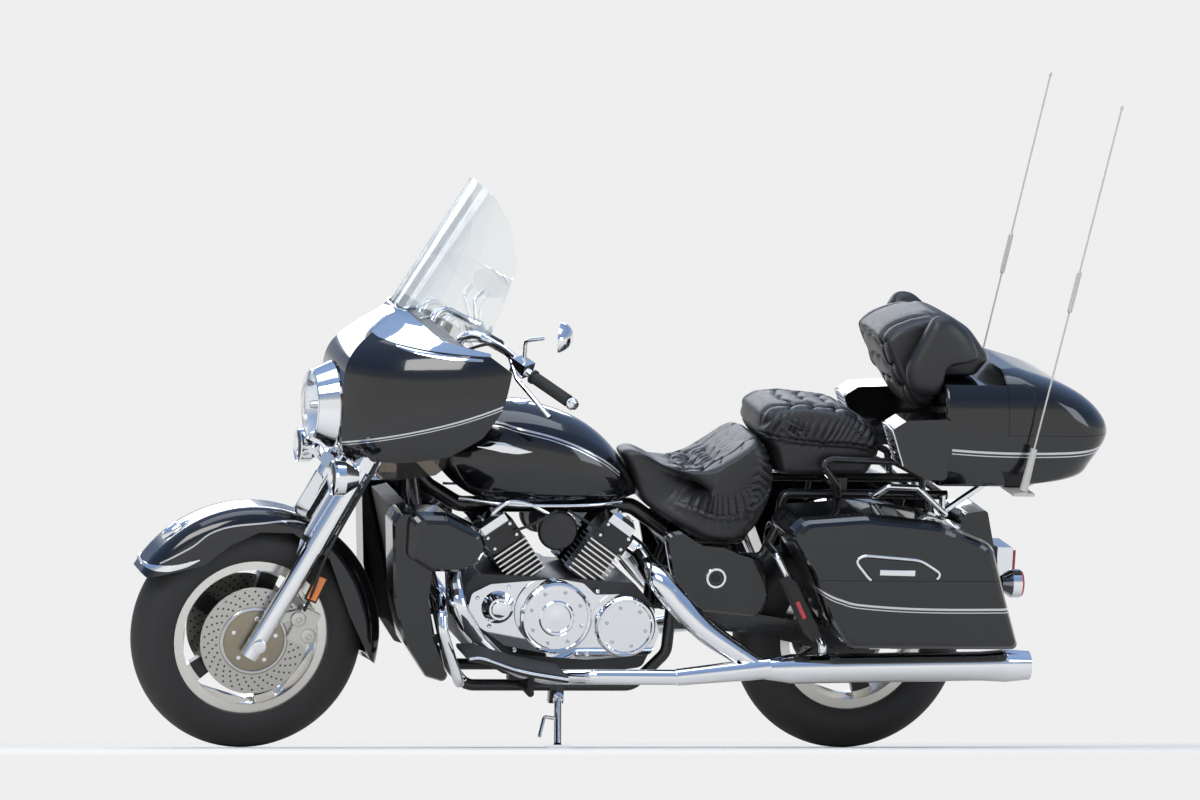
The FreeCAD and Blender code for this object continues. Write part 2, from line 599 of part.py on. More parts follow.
tilt = math.radians(val("screen_tilt"))
rise = Vector(-math.sin(tilt), 0, math.cos(tilt))
inward = Vector(-math.cos(tilt), 0, -math.sin(tilt))
screen_foot = Vector(1346, 0, 1235)
spine = screen_foot + inward * val("screen_radius") - rise * 60
outer = Part.makeCylinder(val("screen_radius"), val("screen_height") + 100, spine, rise)
inner = Part.makeCylinder(val("screen_radius") - val("screen_sheet"), val("screen_height") + 100, spine, rise)
top = val("screen_height")
half = val("screen_half")
SCREEN_EDGE = ((-1.0, 0.12), (-0.985, 0.36), (-0.94, 0.69), (-0.80, 0.88), (-0.48, 0.985), (0, 1.0),
               (0.48, 0.985), (0.80, 0.88), (0.94, 0.69), (0.985, 0.36), (1.0, 0.12), (0.75, 0.0), (0.4, -0.05),
               (0, -0.06), (-0.4, -0.05), (-0.75, 0.0))
edge = [screen_foot - inward * 20 + rise * (up * top) + Vector(0, y * half, 0) for y, up in SCREEN_EDGE]
cutter = Part.Face(corner(edge, 150)).extrude(inward * (val("screen_radius") + 20))
fit = val("seat_gap")
wall = fairing_block(fit, 0, 0).cut(fairing_block(-val("fairing_sheet") - fit, 12, 14))
screen = outer.cut(inner).common(cutter)
feature("windscreen", FORK, one(screen))

DASH_SIDE = ((1196, 1176), (1204, 1156), (1338, 980), (1400, 980), (1400, 992), (1346, 992), (1226, 1160),
             (1222, 1168), (1330, 1168), (1330, 1180))
dash = side_prism(DASH_SIDE, -400, 400).common(fairing_block(-val("fairing_sheet") - val("seat_gap"), 12, 14))
for side in (1, -1):
    slot = tube([(x, side * y, z) for x, y, z in BAR], val("bar_radius") + 6, 45)
    foot = fork_point(val("upper_clamp_place") + val("upper_clamp_thickness") - 4, 0, side * 48)
    dash = dash.cut(slot).cut(Part.makeCylinder(18, 52, foot, UP))
feature("dash", FORK, one(dash))

DEFLECTOR_SIDE = ((1387, 858), (1232, 886), (1236, 845), (1261, 822), (1343, 801), (1411, 790))
panels = []
deflector_out = -val("fairing_sheet") - val("seat_gap")
for grow in (deflector_out, deflector_out - val("deflector_sheet")):
    panels.append(Part.Face(fairing_ring(FAIRING_LEVELS[0], grow, 780)).extrude(Vector(0, 0, 100)))
plate = panels[0].cut(panels[1]).common(side_prism(DEFLECTOR_SIDE, 60, 400, 12))
for x, z in ((1270, 875), (1345, 858)):
    plate = one(fuse(plate, rod((x, 160, z), (x, 240, z), 4)).cut(wall))
feature("deflectors", FORK, both(one(plate)))

# Frame, radiator and engine.

head_low = fork_point(val("head_tube_start"), 0, 0)
head_high = fork_point(val("head_tube_start") + val("head_tube_length"), 0, 0)
head = Part.makeCylinder(val("head_tube_radius"), val("head_tube_length"), head_low, UP)
stem_hole = Part.makeCylinder(val("stem_radius") + val("axle_clearance"), val("head_tube_length") + 20,
                              head_low - UP * 10, UP)
back = (head_low + head_high) * 0.5
pieces = [head, tube([(back.x - 10, 0, back.z - 5), (1215, 0, 738), (1130, 0, 688), (640, 0, 688),
                      (540, 0, 620)], val("backbone_radius"), 60)]
for side in (1, -1):
    y = side * val("frame_half")
    rail = side * val("rail_half")
    out = fork_point(val("head_tube_start") + 42, -10, side * 14)
    bend = fork_point(val("head_tube_start") + 24, -105, side * 60)
    pieces.append(tube([tuple(out), tuple(bend), (1268, side * 100, 700), (1158, y, 260),
                        (1110, y, 206), (640, y, 206), (548, y, 300), (540, y, 450), (505, y, 562)],
                       val("frame_tube_radius"), 50))
    pieces.append(tube([(505, y, 540), (470, rail, 568), (290, rail, 568), (246, rail, 660), (240, rail, 748),
                        (-232, rail, 748)], 13, 26))
pieces.append(rod((540, -val("frame_half"), 600), (540, val("frame_half"), 600), 15))
for side in (1, -1):
    pieces.append(rod((540, side * val("frame_half"), 610), (505, side * val("frame_half"), 545), 15))
pieces.append(Part.makeBox(40, 24.5, 50, Vector(836, val("frame_half") - 8, 158)))
pieces.append(rod((1110, -val("frame_half"), 206), (1110, val("frame_half"), 206), 12))
pieces.append(rod((640, -val("frame_half"), 206), (640, val("frame_half"), 206), 12))
pieces.append(rod((-220, -val("rail_half"), 748), (-220, val("rail_half"), 748), 10))
for side in (1, -1):
    inner = val("swingarm_half") + 11 + val("seat_gap")
    plate = Part.makeBox(74, 18, 60, Vector(466, inner, 368))
    lug = Part.makeBox(40, 26, 27.9, Vector(380, val("rail_half") - 14, 574))
    saddle = Part.makeBox(40, 24, 40, Vector(60, val("rail_half") - 12, 755.4))
    stay_front = tube([(100, 122, 740), (100, 150, 680), (100, val("bag_inner") - val("seat_gap"), 680)], 8, 12)
    stay_rear = tube([(-180, 122, 740), (-180, 150, 660), (-180, val("bag_inner") - val("seat_gap"), 660)], 8, 12)
    for piece in (plate, lug, saddle, stay_front, stay_rear):
        pieces.append(piece if side > 0 else mirrored(piece))
pieces.append(rod((60, -val("rail_half"), 748), (60, val("rail_half"), 748), 10))
frame = fuse(*pieces).cut(stem_hole)
feature("frame", CHASSIS, one(frame))

radiator = Part.makeBox(val("radiator_thickness"), 2 * val("radiator_half"), 440,
                        Vector(-val("radiator_thickness"), -val("radiator_half"), 0))
radiator.Placement = Placement(Vector(1240, 0, 282), Rotation(Vector(0, 1, 0), 14.2))
tabs = []
for side in (1, -1):
    for low, mid_y in ((30, 127), (380, 105)):
        tab = Part.makeBox(14.4, 20, 22, Vector(-58.3, side * mid_y - 10, low))
        tab.Placement = radiator.Placement
        tabs.append(tab)
feature("radiator", CHASSIS, one(fuse(radiator, *tabs)))

CRANK_SIDE = ((1128, 500), (1085, 522), (655, 500), (592, 430), (590, 330), (620, 262), (780, 238), (1010, 242),
              (1110, 300))
block = side_prism(CRANK_SIDE, -val("crank_half"), val("crank_half"), 25)
mounts = [Part.makeBox(44, 30, 26, Vector(x, y, val("cradle_height") + val("frame_tube_radius") + val("seat_gap")))
          for x in (800, 950) for y in (115, -145)]
feature("engine_block", CHASSIS, one(fuse(block, *mounts)))

CRANK = Vector(872, 0, 400)
banks = []
covers = []
for lean in (val("bank_angle"), -val("bank_angle")):
    turn = Rotation(Vector(0, 1, 0), lean)
    for side in (1, -1):
        place = Placement(CRANK + Vector(0, side * val("barrel_half_spacing"), 0), turn)
        start = val("barrel_start")
        stack = val("fin_count") * val("fin_pitch")
        core = val("barrel_core_half")
        half = val("barrel_half")
        solids = [Part.makeBox(2 * core, 2 * core, stack + 4, Vector(-core, -core, start))]
        for i in range(int(val("fin_count"))):
            low = start + 6 + i * val("fin_pitch")
            solids.append(Part.makeBox(2 * half + 6, 2 * half, val("fin_thickness"), Vector(-half - 3, -half, low)))
        head_low_z = start + stack + 4
        solids.append(Part.makeBox(2 * half, 2 * half - 6, val("head_length") - 6,
                                   Vector(-half, -half + 3, head_low_z)))
        barrel = fuse(*solids)
        barrel.Placement = place
        banks.append(one(barrel))
        lid_low = head_low_z + val("head_length") - 6 + 0.3
        lid = Part.makeBox(78, 84, val("head_cover_length"), Vector(-39, -42, lid_low))
        lid = lid.makeChamfer(12, [e for e in lid.Edges if e.CenterOfMass.z > lid_low + 30])
        lid.Placement = place
        covers.append(lid)
crank_cut = side_prism(CRANK_SIDE, -val("crank_half") - 0.3, val("crank_half") + 0.3, 25)
banks = [one(b.cut(crank_cut.copy().translated(Vector(0, 0, 0.3)))) for b in banks]
feature("cylinders", CHASSIS, Part.makeCompound(banks))

COVER_SIDE = ((1112, 470), (1060, 496), (960, 505), (870, 512), (800, 500), (765, 468), (690, 470), (600, 430),
              (578, 360), (600, 300), (780, 285), (980, 300), (1085, 375), (1120, 430))
engine_covers = []
start = val("crank_half") + 0.3
for side in (1, -1):
    plate = side_prism(COVER_SIDE, start, start + val("cover_plate"), 18)
    drum = Part.makeCylinder(val("big_cover_radius"), val("cover_plate") + val("big_cover_height"),
                             Vector(882, start, 412), Vector(0, 1, 0))
    drum = drum.makeFillet(15, [e for e in drum.Edges if e.CenterOfMass.y > start + val("big_cover_height")
                                and e.Length > 300])
    mid = Part.makeCylinder(val("mid_cover_radius"), val("cover_plate") + val("mid_cover_height"),
                            Vector(682, start, 385), Vector(0, 1, 0))
    mid = mid.makeFillet(13, [e for e in mid.Edges if e.CenterOfMass.y > start + val("mid_cover_height")
                              and e.Length > 300])
    nose = Part.makeCone(52, 30, val("cover_plate") + 30, Vector(1038, start, 432), Vector(0, 1, 0))
    cover = one(fuse(plate, drum, mid, nose))
    engine_covers.append(cover if side > 0 else mirrored(cover))
feature("engine_covers", CHASSIS, Part.makeCompound(engine_covers + covers))

# Lower fairings with their pockets, highway bars, exhausts, floorboards.

LOWER_SIDE = ((1366, 690), (1350, 719), (1240, 719), (1228, 640), (1250, 560), (1256, 470), (1236, 359),
              (1180, 240), (1255, 262), (1320, 358), (1352, 480))
POCKET_SIDE = ((1330, 722), (1225, 720), (1115, 665), (1103, 625), (1130, 575), (1180, 556), (1262, 556),
               (1330, 600))
flush = val("lowers_half") - 34
lower = slab(LOWER_SIDE, ((val("lowers_inner"), 0), (flush - 12, 0), (flush, 7)), 0, 16)
rim = val("lowers_half")
pocket = slab(POCKET_SIDE, ((val("lowers_inner") + 10, 0), (rim - 42, 0), (rim - 16, 6), (rim - 4, 17), (rim, 28)),
              0, 30)
stay = rod((1250, 122.2, 628), (1250, val("lowers_inner") + 8, 628), 8)
feature("lower_fairings", CHASSIS, both(one(fuse(lower, pocket, stay))))

guard = tube([(1138, 146.4, 237.6), (1140, 215, 237.6), (1166, 298, 250), (1222, 325, 400), (1222, 300, 446),
              (1210.5, 215, 466), (1210.5, 134.5, 470)], val("guard_radius"), 32)
BAG_GUARD = ((272.8, 137.1, 604), (270, 222, 592), (196, 258, 452), (156, 258, 392), (148, 300, 358),
             (148, 300, 338.3))
bag_guard = tube(list(BAG_GUARD), 11, 24)
feature("highway_bars", CHASSIS, Part.makeCompound([guard, mirrored(guard), bag_guard, mirrored(bag_guard)]))

front = tube([(1077.3, 88, 604.4), (1130, 88, 567.5), (1172, 192, 524), (1158, 226, 440), (1098, 200, 352),
              (1040, 194, 296), (975, 194, 262), (896, 204, 246), (790, 300, 268), (560, 304, 268)],
             val("pipe_radius"), 44)
rear = tube([(666.7, 88, 604.1), (632, 88, 579.8), (600, 205, 520), (500, 262, 408), (330, 314, 303)],
            val("pipe_radius") + 3, 40)
gather = Part.makeCone(val("pipe_radius") + 2, 31, 262, Vector(559.6, 304, 268), Vector(-250, 14, 30))
MUFFLER = ((309, 0), (309, 29), (238, 1), (-300, 1), (-372, 1.12), (-440, 0.98), (-440, 0.88), (-370, 0.84),
           (-370, 0))
outline = [Vector(x, 0, r * val("muffler_radius") if 0 < r < 2 else r) for x, r in MUFFLER]
muffler = Part.Face(Part.makePolygon(outline + [outline[0]])).revolve(Vector(0, 0, 0), Vector(1, 0, 0), 360)
muffler.Placement = Placement(Vector(0, val("muffler_half_spacing"), 300), Rotation(Vector(0, 1, 0), 1))
exhaust = one(muffler.fuse(gather).fuse(rear))
feature("exhausts", CHASSIS, Part.makeCompound([front, mirrored(front), exhaust, mirrored(exhaust)]))

board_in = val("board_inner")
BOARD_SIDE = ((1160, 330), (1165, 344), (1120, 345), (1010, 312), (880, 288), (880, 270), (1010, 290),
              (1110, 322))
board = side_prism(BOARD_SIDE, board_in, board_in + val("board_width"), 4)
hanger = fuse(rod((950, 146.4, 206), (950, 236, 206), 10), rod((950, 236, 206), (950, 236, 296), 9))
board = one(fuse(board, hanger))
foot_peg = Part.makeBox(28, 100, 170, Vector(-14, -50, -85))
foot_peg.Placement = Placement(Vector(226, 330, 468), Rotation(Vector(0, 1, 0), 28))
foot_lug = rod((178, 258, 424), (214, 292, 448), 8).cut(tube(list(BAG_GUARD), 11 + val("seat_gap"), 24))
foot_peg = one(foot_peg.fuse(foot_lug))
feature("floorboards", CHASSIS, Part.makeCompound([board, mirrored(board), foot_peg, mirrored(foot_peg)]))

# Tank, seats, side covers.

TANK_SECTIONS = (
    # x, underside, top, half width, level of the widest point
    (1197, 800, 896, 56, 850), (1165, 766, 940, 96, 852), (1100, 728, 971, 132, 842), (1000, 711, 982, 155, 830),
    (900, 707, 967, 158, 815), (800, 708, 929, 146, 796), (720, 713, 871, 118, 776), (668, 722, 806, 84, 757),
    (641, 729, 752, 54, 741),
)
sections = []
for x, base, crown, wide, level in TANK_SECTIONS:
    low_left = Vector(x, 0.72 * wide, base)
    low_right = Vector(x, -0.72 * wide, base)
    shoulder = 0.74 * wide
    shoulder_z = level + 0.72 * (crown - level)
    left = Vector(x, shoulder, shoulder_z)
    right = Vector(x, -shoulder, shoulder_z)
    sections.append(Part.Wire([Part.makeLine(low_right, low_left),
                               Part.Arc(low_left, Vector(x, wide, level), left).toShape(),
                               Part.Arc(left, Vector(x, 0, crown), right).toShape(),
                               Part.Arc(right, Vector(x, -wide, level), low_right).toShape()]))
tank = Part.makeLoft(sections, True, False)
tunnel = tube([(back.x - 10, 0, back.z - 5), (1215, 0, 738), (1130, 0, 688), (600, 0, 688)],
              val("backbone_radius") + 0.6, 60)

RIDER_SIDE = ((693, 848), (650, 860), (592, 825), (506, 815), (450, 826), (367, 878), (318, 915), (280, 868),
              (262, 800), (270, 737), (305, 655), (359, 603), (474, 612), (600, 690), (634, 724),
              (640, 748), (669, 816))
seat_zone = slab(RIDER_SIDE, ((-300, 0), (300, 0)), val("seat_gap"), 18)
feature("fuel_tank", CHASSIS, one(tank.cut(tunnel).cut(seat_zone)))
RIDER_PLAN = ((700, 70), (560, 120), (440, val("seat_half")), (250, val("seat_half")))
rider_plan = list(RIDER_PLAN) + [(x, -y) for x, y in reversed(RIDER_PLAN)]
rider = pillow(RIDER_SIDE, val("seat_half"), 44, 26, 18).common(plan_prism(rider_plan, 500, 1000, 30))
feature("rider_seat", CHASSIS, one(rider))

PASSENGER_SIDE = ((314, 976), (283, 996), (212, 1005), (69, 992), (-21, 937), (-39, 867), (-1, 798), (240, 796),
                  (261.5, 800.5), (279.5, 868.5), (317.4, 915.5))
passenger = pillow(PASSENGER_SIDE, val("passenger_half"), 44, 22, 18)
feature("passenger_seat", CHASSIS, passenger)

COVER_POINTS = ((582, 643), (512, 654), (360, 588), (300, 572), (275, 465), (300, 408), (525, 430), (560, 545))
side_panel = slab(COVER_POINTS, ((val("side_cover_half") - 22, 0), (val("side_cover_half") - 9, 0),
                                 (val("side_cover_half"), 8)), 0, 22)
side_panel = side_panel.cut(slab(RIDER_SIDE, ((100, 0), (300, 0)), 2, 18))
studs = [rod((531, 146.4, 480), (531, 160, 480), 8), rod((330, 135.4, 568), (330, 160, 568), 8)]
feature("side_covers", CHASSIS, both(one(fuse(side_panel, *studs))))

# Rear: fender, swingarm with axle, bags, trunk, backrest, pods, rails, lamps, antennas.

profile = turned_u(HUB, val("rear_fender_radius"), val("rear_fender_half"), 3, 120, 70)
ring = profile.revolve(HUB, Vector(0, 1, 0), 360)
REAR_FENDER_SIDE = ((228, 560), (228, 760), (-420, 760), (-420, 470), (-300, 470), (-150, 520), (150, 560))
fender = ring.common(side_prism(REAR_FENDER_SIDE, -120, 120))
TAIL_SIDE = ((-255, 596), (-300, 690), (-362, 700), (-396, 560), (-410, 430), (-378, 425), (-338, 500))
tail = side_prism(TAIL_SIDE, -94, 94, 12)
boss = Part.makeBox(24, 60, 38, Vector(48, -30, 699.7))
feature("rear_fender", CHASSIS, one(fuse(one(fender), tail, boss)))

arm_y = val("swingarm_half")
ARM_SIDE = ((524, 425), (524, 372), (300, 350), (30, 292), (-32, 300), (-34, 350), (20, 362), (300, 408))
arms = [side_prism(ARM_SIDE, arm_y - 11, arm_y + 11, 14), side_prism(ARM_SIDE, -arm_y - 11, -arm_y + 11, 14)]
arms.append(rod((500, -arm_y, 398), (500, arm_y, 398), 22))
arms.append(Part.makeBox(60, 2 * arm_y, 50, Vector(395, -arm_y, 360)))
arms.append(rod((0, -arm_y - 24, HUB.z), (0, arm_y + 24, HUB.z), val("rear_axle_radius")))
arms.append(rod((0, 84, HUB.z), (0, arm_y, HUB.z), 62))
swingarm = fuse(*arms).cut(rod((0, -200, HUB.z), (0, 200, HUB.z), 4))
feature("swingarm", CHASSIS, one(swingarm))

BAG_SIDE = ((298, 700), (262, 738), (90, 752), (-130, 730), (-288, 668), (-330, 530), (-382, 371), (110, 371),
            (166, 450), (226, 590))
BAG_RADII = [22, 40, 120, 160, 60, 120, 14, 40, 60, 60]


thick = val("shell_sheet")
inner = val("bag_inner")
outer = val("bag_outer")
bag_full = slab(BAG_SIDE, ((inner, 0), (outer - 46, 0), (outer - 20, 7), (outer - 6, 17), (outer, 30)), 0,
                BAG_RADII)
bag_inside = slab(BAG_SIDE, ((inner + thick, 0), (outer - 47, 0), (outer - 22, 7), (outer - 10, 16),
                             (outer - thick, 28)), -thick, BAG_RADII)
bag_shell = bag_full.cut(bag_inside)
seam = val("bag_seam")
step = inner + 16
lid_zone = front_prism(((0, val("bag_hinge_height")), (step, val("bag_hinge_height")), (step, seam), (600, seam),
                        (600, 900), (0, 900)), -500, 500)
tub = bag_shell.cut(lid_zone.translated(Vector(0, -val("lid_gap"), -val("lid_gap"))))
lid = bag_shell.common(lid_zone)
feature("bag_tubs", CHASSIS, both(one(tub)))
feature("bag_lid_left", "bag_lid_left", one(lid))
feature("bag_lid_right", "bag_lid_right", mirrored(one(lid)))

TRUNK_LEVELS = (
    # level, rear x, half width, rear corner radius
    (796, -462, 236, 60), (820, -560, 270, 84), (860, -612, 286, 96), (910, -645, 292, 104), (955, -660, 292, 110),
    (1000, -640, 288, 116), (1045, -590, 274, 112), (1085, -505, 246, 96), (1108, -430, 210, 70),
    (1117, -395, 180, 44),
)


def trunk_block(grow):
    """The trunk's outer form, or the same form shrunk evenly, as a smooth loft of plan outlines."""
    wires = []
    low = TRUNK_LEVELS[0][0]
    tall = TRUNK_LEVELS[-1][0] - low
    for z, rear, half, round_rear in TRUNK_LEVELS:
        level = low - grow + (z - low) * (tall + 2 * grow) / tall
        x_front = val("trunk_front") + grow
        x_rear = rear - grow
        y = half + grow
        size = round_rear + grow
        points = [Vector(x_front, -y, level), Vector(x_front, y, level), Vector(x_rear, y, level),
                  Vector(x_rear, -y, level)]
        wires.append(corner(points, [12 + grow, 12 + grow, size, size]))
    block = Part.makeLoft(wires, True, False)
    hood = Part.makeBox(400, 900, 200, Vector(-347 + grow, -450, 1082 + grow))
    return block.cut(hood)


trunk_shell = trunk_block(0).cut(trunk_block(-thick))
seam = val("trunk_seam")
cut_x = val("trunk_lid_front")
zone = side_prism(((cut_x, seam), (cut_x, 1300), (-900, 1300), (-900, seam)), -400, 400)
tub = one(trunk_shell.cut(zone.translated(Vector(val("lid_gap"), 0, -val("lid_gap")))))
feature("trunk_lid", "trunk_lid", one(trunk_shell.common(zone)))

REST_SIDE = ((-5, 1191), (-43, 1226), (-100, 1249), (-171, 1262), (-200, 1256), (-275, 1218), (-333, 1140),
             (-336, 1126), (-320, 1120), (-168, 1084), (-168, 984), (-120, 986), (-56, 1085))
WING_SIDE = ((-66, 1120), (-84, 1052), (-130, 1034), (-168, 1040), (-182, 1124), (-283, 1146), (-247, 1216),
             (-190, 1268), (-140, 1270))
rest = pillow(REST_SIDE, 170, 20, 10, 14)
rest = rest.fuse(pillow(WING_SIDE, val("backrest_half"), 36, 24, 14))
top_clear = side_prism(((-171.7, 700), (-171.7, 1082.3), (-344.7, 1082.3), (-344.7, 1124), (-700, 1124),
                        (-700, 700)), -400, 400)
feature("backrest", CHASSIS, one(rest.cut(top_clear)))

POD_SIDE = ((-12, 968), (-50, 992), (-168, 997), (-174, 990), (-174, 826), (-112, 828), (-50, 862))
pod = side_prism(POD_SIDE, val("pod_inner"), val("pod_inner") + val("pod_width"), 14)
pod = pod.cut(trunk_block(-1))
tub = fuse(tub, one(pod), mirrored(one(pod)))
feature("trunk_tub", CHASSIS, one(tub))

outer_rail = val("rail_half") + 13 + val("seat_gap")
rail = tube([(92, outer_rail, 748), (92, 170, 752), (104, 184, 790), (150, 184, 846), (120, 184, 858),
             (-60, 184, 852), (-140, 184, 812), (-146, 172, 756), (-146, outer_rail, 748)],
            val("rail_tube_radius"), 16)
feature("grab_rails", CHASSIS, both(rail))

arch = tube([(-5, outer_rail, 748), (-5, 180, 752), (-40, 206, 786), (-120, 206, 784), (-212, 196, 706),
             (-214, 150, 700)], 9, 16)
post_y = val("rail_half") + 13 + 9 + val("seat_gap")
trunk_pad = Part.makeBox(30, 24, 12, Vector(-345, post_y - 12, TRUNK_LEVELS[0][0] - val("seat_gap") - 12))
chrome = fuse(arch, rod((-214, post_y, 752), (-214, post_y, 700), 9),
              rod((-214, post_y, 702), (-330, post_y, TRUNK_LEVELS[0][0] - 12), 9), trunk_pad)
feature("tail_rails", CHASSIS, both(one(chrome)))

lamp = Part.makeBox(50, 128, 88, Vector(-458, -64, 500))
lamp = lamp.makeFillet(12, [e for e in lamp.Edges if abs(e.CenterOfMass.x + 458) < 1])
LAMP_FIT = side_prism(TAIL_SIDE, -94.3, 94.3, 12)
pieces = [one(lamp.cut(LAMP_FIT.translated(Vector(-0.3, 0, 0))))]
for side in (1, -1):
    y = side * 200
    bulb = Part.makeCylinder(40, 26, Vector(-434, y, 514), Vector(1, 0, 0))
    cup = Part.makeCone(40, 22, 26, Vector(-408, y, 514), Vector(1, 0, 0))
    stalk = rod((-392, side * 94.4, 514), (-392, side * 190, 514), 9)
    pieces.append(one(fuse(bulb, cup, stalk)))
feature("tail_lamps", CHASSIS, Part.makeCompound(pieces))

half = val("antenna_half")
foot = Vector(-392, half, 800)
tip = Vector(val("antenna_tip_x"), half + 16, val("antenna_tip_z"))
line = tip - foot
whip = val("whip_radius")
full = line.Length
MAST = ((0, 0), (0, 12), (0.11 * full, 9), (0.11 * full, whip), (0.465 * full, whip), (0.47 * full, val("coil_radius")),
        (0.57 * full, val("coil_radius")), (0.575 * full, whip), (full - 8, whip), (full - 4, 4.5), (full, 4.5),
        (full + 4, 2), (full + 4, 0))
outline = [Vector(r, 0, z) for z, r in MAST]
mast = Part.Face(Part.makePolygon(outline + [outline[0]])).revolve(Vector(0, 0, 0), Vector(0, 0, 1), 360)
mast.Placement = Placement(foot, Rotation(Vector(0, 0, 1), line))
socket = fuse(Part.makeCylinder(14, 12.4, Vector(-392, half, 787.3), Vector(0, 0, 1)),
              Part.makeBox(60, half - 180, 8, Vector(-422, 190, 787.3)))
mast.translate(Vector(0, 0, 1.4))
mast = mast.cut(Part.makeBox(80, 80, 40, Vector(foot.x - 40, half - 40, 760)))
feature("antennas", CHASSIS, Part.makeCompound([one(mast), mirrored(one(mast)), socket, mirrored(socket)]))

# Side stand: pivots on the left cradle tube and reaches the ground.

LEAN = math.radians(val("lean_angle"))
SINK = val("tyre_crown") * (1 - math.cos(LEAN))


def ground(y):
    return (y * math.sin(LEAN) - SINK) / math.cos(LEAN)


foot_y = val("stand_foot_half")
HINGE = Vector(0, math.cos(math.radians(30)), math.sin(math.radians(30)))
stand_top = Vector(856, val("stand_half"), 176)
foot_mid = Vector(872, foot_y, ground(foot_y) + 9.5)
leg = rod(tuple(stand_top), tuple(foot_mid), val("stand_radius"))
pad = Part.makeBox(64, 46, 8, Vector(-32, -23, 0))
pad.Placement = Placement(Vector(872, foot_y, ground(foot_y)), Rotation(Vector(1, 0, 0), val("lean_angle")))
knuckle = Part.makeCylinder(14, 22, stand_top - HINGE * 11, HINGE)
prong = tube([(864, 205, 128), (905, 222, 138), (925, 262, 92)], 5, 12)
feature("side_stand", "side_stand", one(fuse(leg, pad, knuckle, prong)))

doc.recompute()

# Lean and steer, then the whole machine's box is centred on the origin with its lowest point at zero.

lean = Placement(Vector(0, 0, 0), Rotation(Vector(1, 0, 0), -val("lean_angle")))
steer_turn = Rotation(UP, val("rest_steer"))
steer = Placement(PIVOT - steer_turn.multVec(PIVOT), steer_turn)
STEERED = (FORK, "front_wheel")


def place_of(body):
    return lean.multiply(steer) if body in STEERED else lean


low = Vector(1e9, 1e9, 1e9)
high = Vector(-1e9, -1e9, -1e9)
for obj, label, body in nodes:
    shape = obj.Shape.copy()
    matrix = place_of(body).toMatrix()
    moved = shape.transformed(matrix)
    box = moved.optimalBoundingBox(False, False)
    low = Vector(min(low.x, box.XMin), min(low.y, box.YMin), min(low.z, box.ZMin))
    high = Vector(max(high.x, box.XMax), max(high.y, box.YMax), max(high.z, box.ZMax))
shift = Placement(Vector(-(low.x + high.x) / 2, -(low.y + high.y) / 2, -low.z), Rotation())
for obj, label, body in nodes:
    obj.Placement = shift.multiply(place_of(body)).multiply(obj.Placement)
doc.recompute()

os.makedirs("parts", exist_ok=True)
for obj in doc.Objects:
    if "Invalid" in obj.State or "Error" in obj.State:
        raise RuntimeError("%s did not build: %s" % (obj.Name, obj.State))
for obj, label, body in nodes:
    if obj.Shape.isNull() or not obj.Shape.isValid() or not obj.Shape.Solids:
        raise RuntimeError("%s has no sound solid" % label)
    obj.Shape.exportStep("parts/%s.step" % label)
print(len(nodes), "nodes, box", [round(v, 1) for v in (high - low)], "shift", [round(v, 5) for v in shift.Base])
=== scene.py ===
import math
from functools import partial

import bmesh
import bpy
import numpy as np
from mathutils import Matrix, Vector
from mathutils.bvhtree import BVHTree


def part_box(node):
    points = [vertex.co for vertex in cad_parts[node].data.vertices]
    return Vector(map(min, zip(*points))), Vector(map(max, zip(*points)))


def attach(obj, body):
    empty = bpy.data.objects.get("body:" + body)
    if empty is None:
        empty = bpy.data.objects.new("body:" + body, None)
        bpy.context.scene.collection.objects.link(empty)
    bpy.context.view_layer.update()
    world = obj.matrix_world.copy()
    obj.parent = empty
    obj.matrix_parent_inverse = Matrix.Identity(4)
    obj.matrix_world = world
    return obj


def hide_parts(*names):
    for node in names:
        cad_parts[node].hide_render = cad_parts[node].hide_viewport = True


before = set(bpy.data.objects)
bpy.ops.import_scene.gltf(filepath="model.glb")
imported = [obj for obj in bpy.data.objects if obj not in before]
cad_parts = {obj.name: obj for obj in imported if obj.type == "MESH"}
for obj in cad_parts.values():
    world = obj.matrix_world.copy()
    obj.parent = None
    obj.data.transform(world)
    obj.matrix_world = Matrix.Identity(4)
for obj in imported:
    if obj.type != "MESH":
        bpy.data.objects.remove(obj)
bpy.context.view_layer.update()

LEAN = math.radians(13.35)
STEER = math.radians(4.0)
RAKE = math.radians(29.25)
TRAIL = 140.0
UP = np.array([-math.sin(RAKE), 0.0, math.cos(RAKE)])
AXLE = np.array([1705.0, 0.0, 323.0])
HUB = np.array([0.0, 0.0, 325.5])
OFFSET = AXLE[2] * math.sin(RAKE) - TRAIL * math.cos(RAKE)
AHEAD = np.array([math.cos(RAKE), 0.0, math.sin(RAKE)])
PIVOT = AXLE - AHEAD * OFFSET
tyre_low, tyre_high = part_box("rear_tyre")
HUB_ROW = (np.array(tyre_low) + np.array(tyre_high)) * 500.0
SHIFT = HUB_ROW - np.array([0, HUB[2] * math.sin(LEAN), HUB[2] * math.cos(LEAN)])


def turn_about(axis, angle):
    """Rotation matrix by the axis and angle formula."""
    x, y, z = np.array(axis, float) / np.linalg.norm(axis)
    k = np.array([[0, -z, y], [z, 0, -x], [-y, x, 0]])
    return np.eye(3) + math.sin(angle) * k + (1 - math.cos(angle)) * (k @ k)


LEAN_TURN = turn_about((1, 0, 0), -LEAN)
STEER_TURN = turn_about(UP, STEER)


def row(points, steered=False):
    """Bike-frame millimetres to row-frame metres: steer about the head, lean about the ground line, shift."""
    p = np.asarray(points, float)
    if steered:
        p = (p - PIVOT) @ STEER_TURN.T + PIVOT
    return (p @ LEAN_TURN.T + SHIFT) / 1000.0


STEERED = ("fork", "front_wheel")
SIDES = ((1, "left"), (-1, "right"))
SMOOTH_ANGLE = math.radians(35)


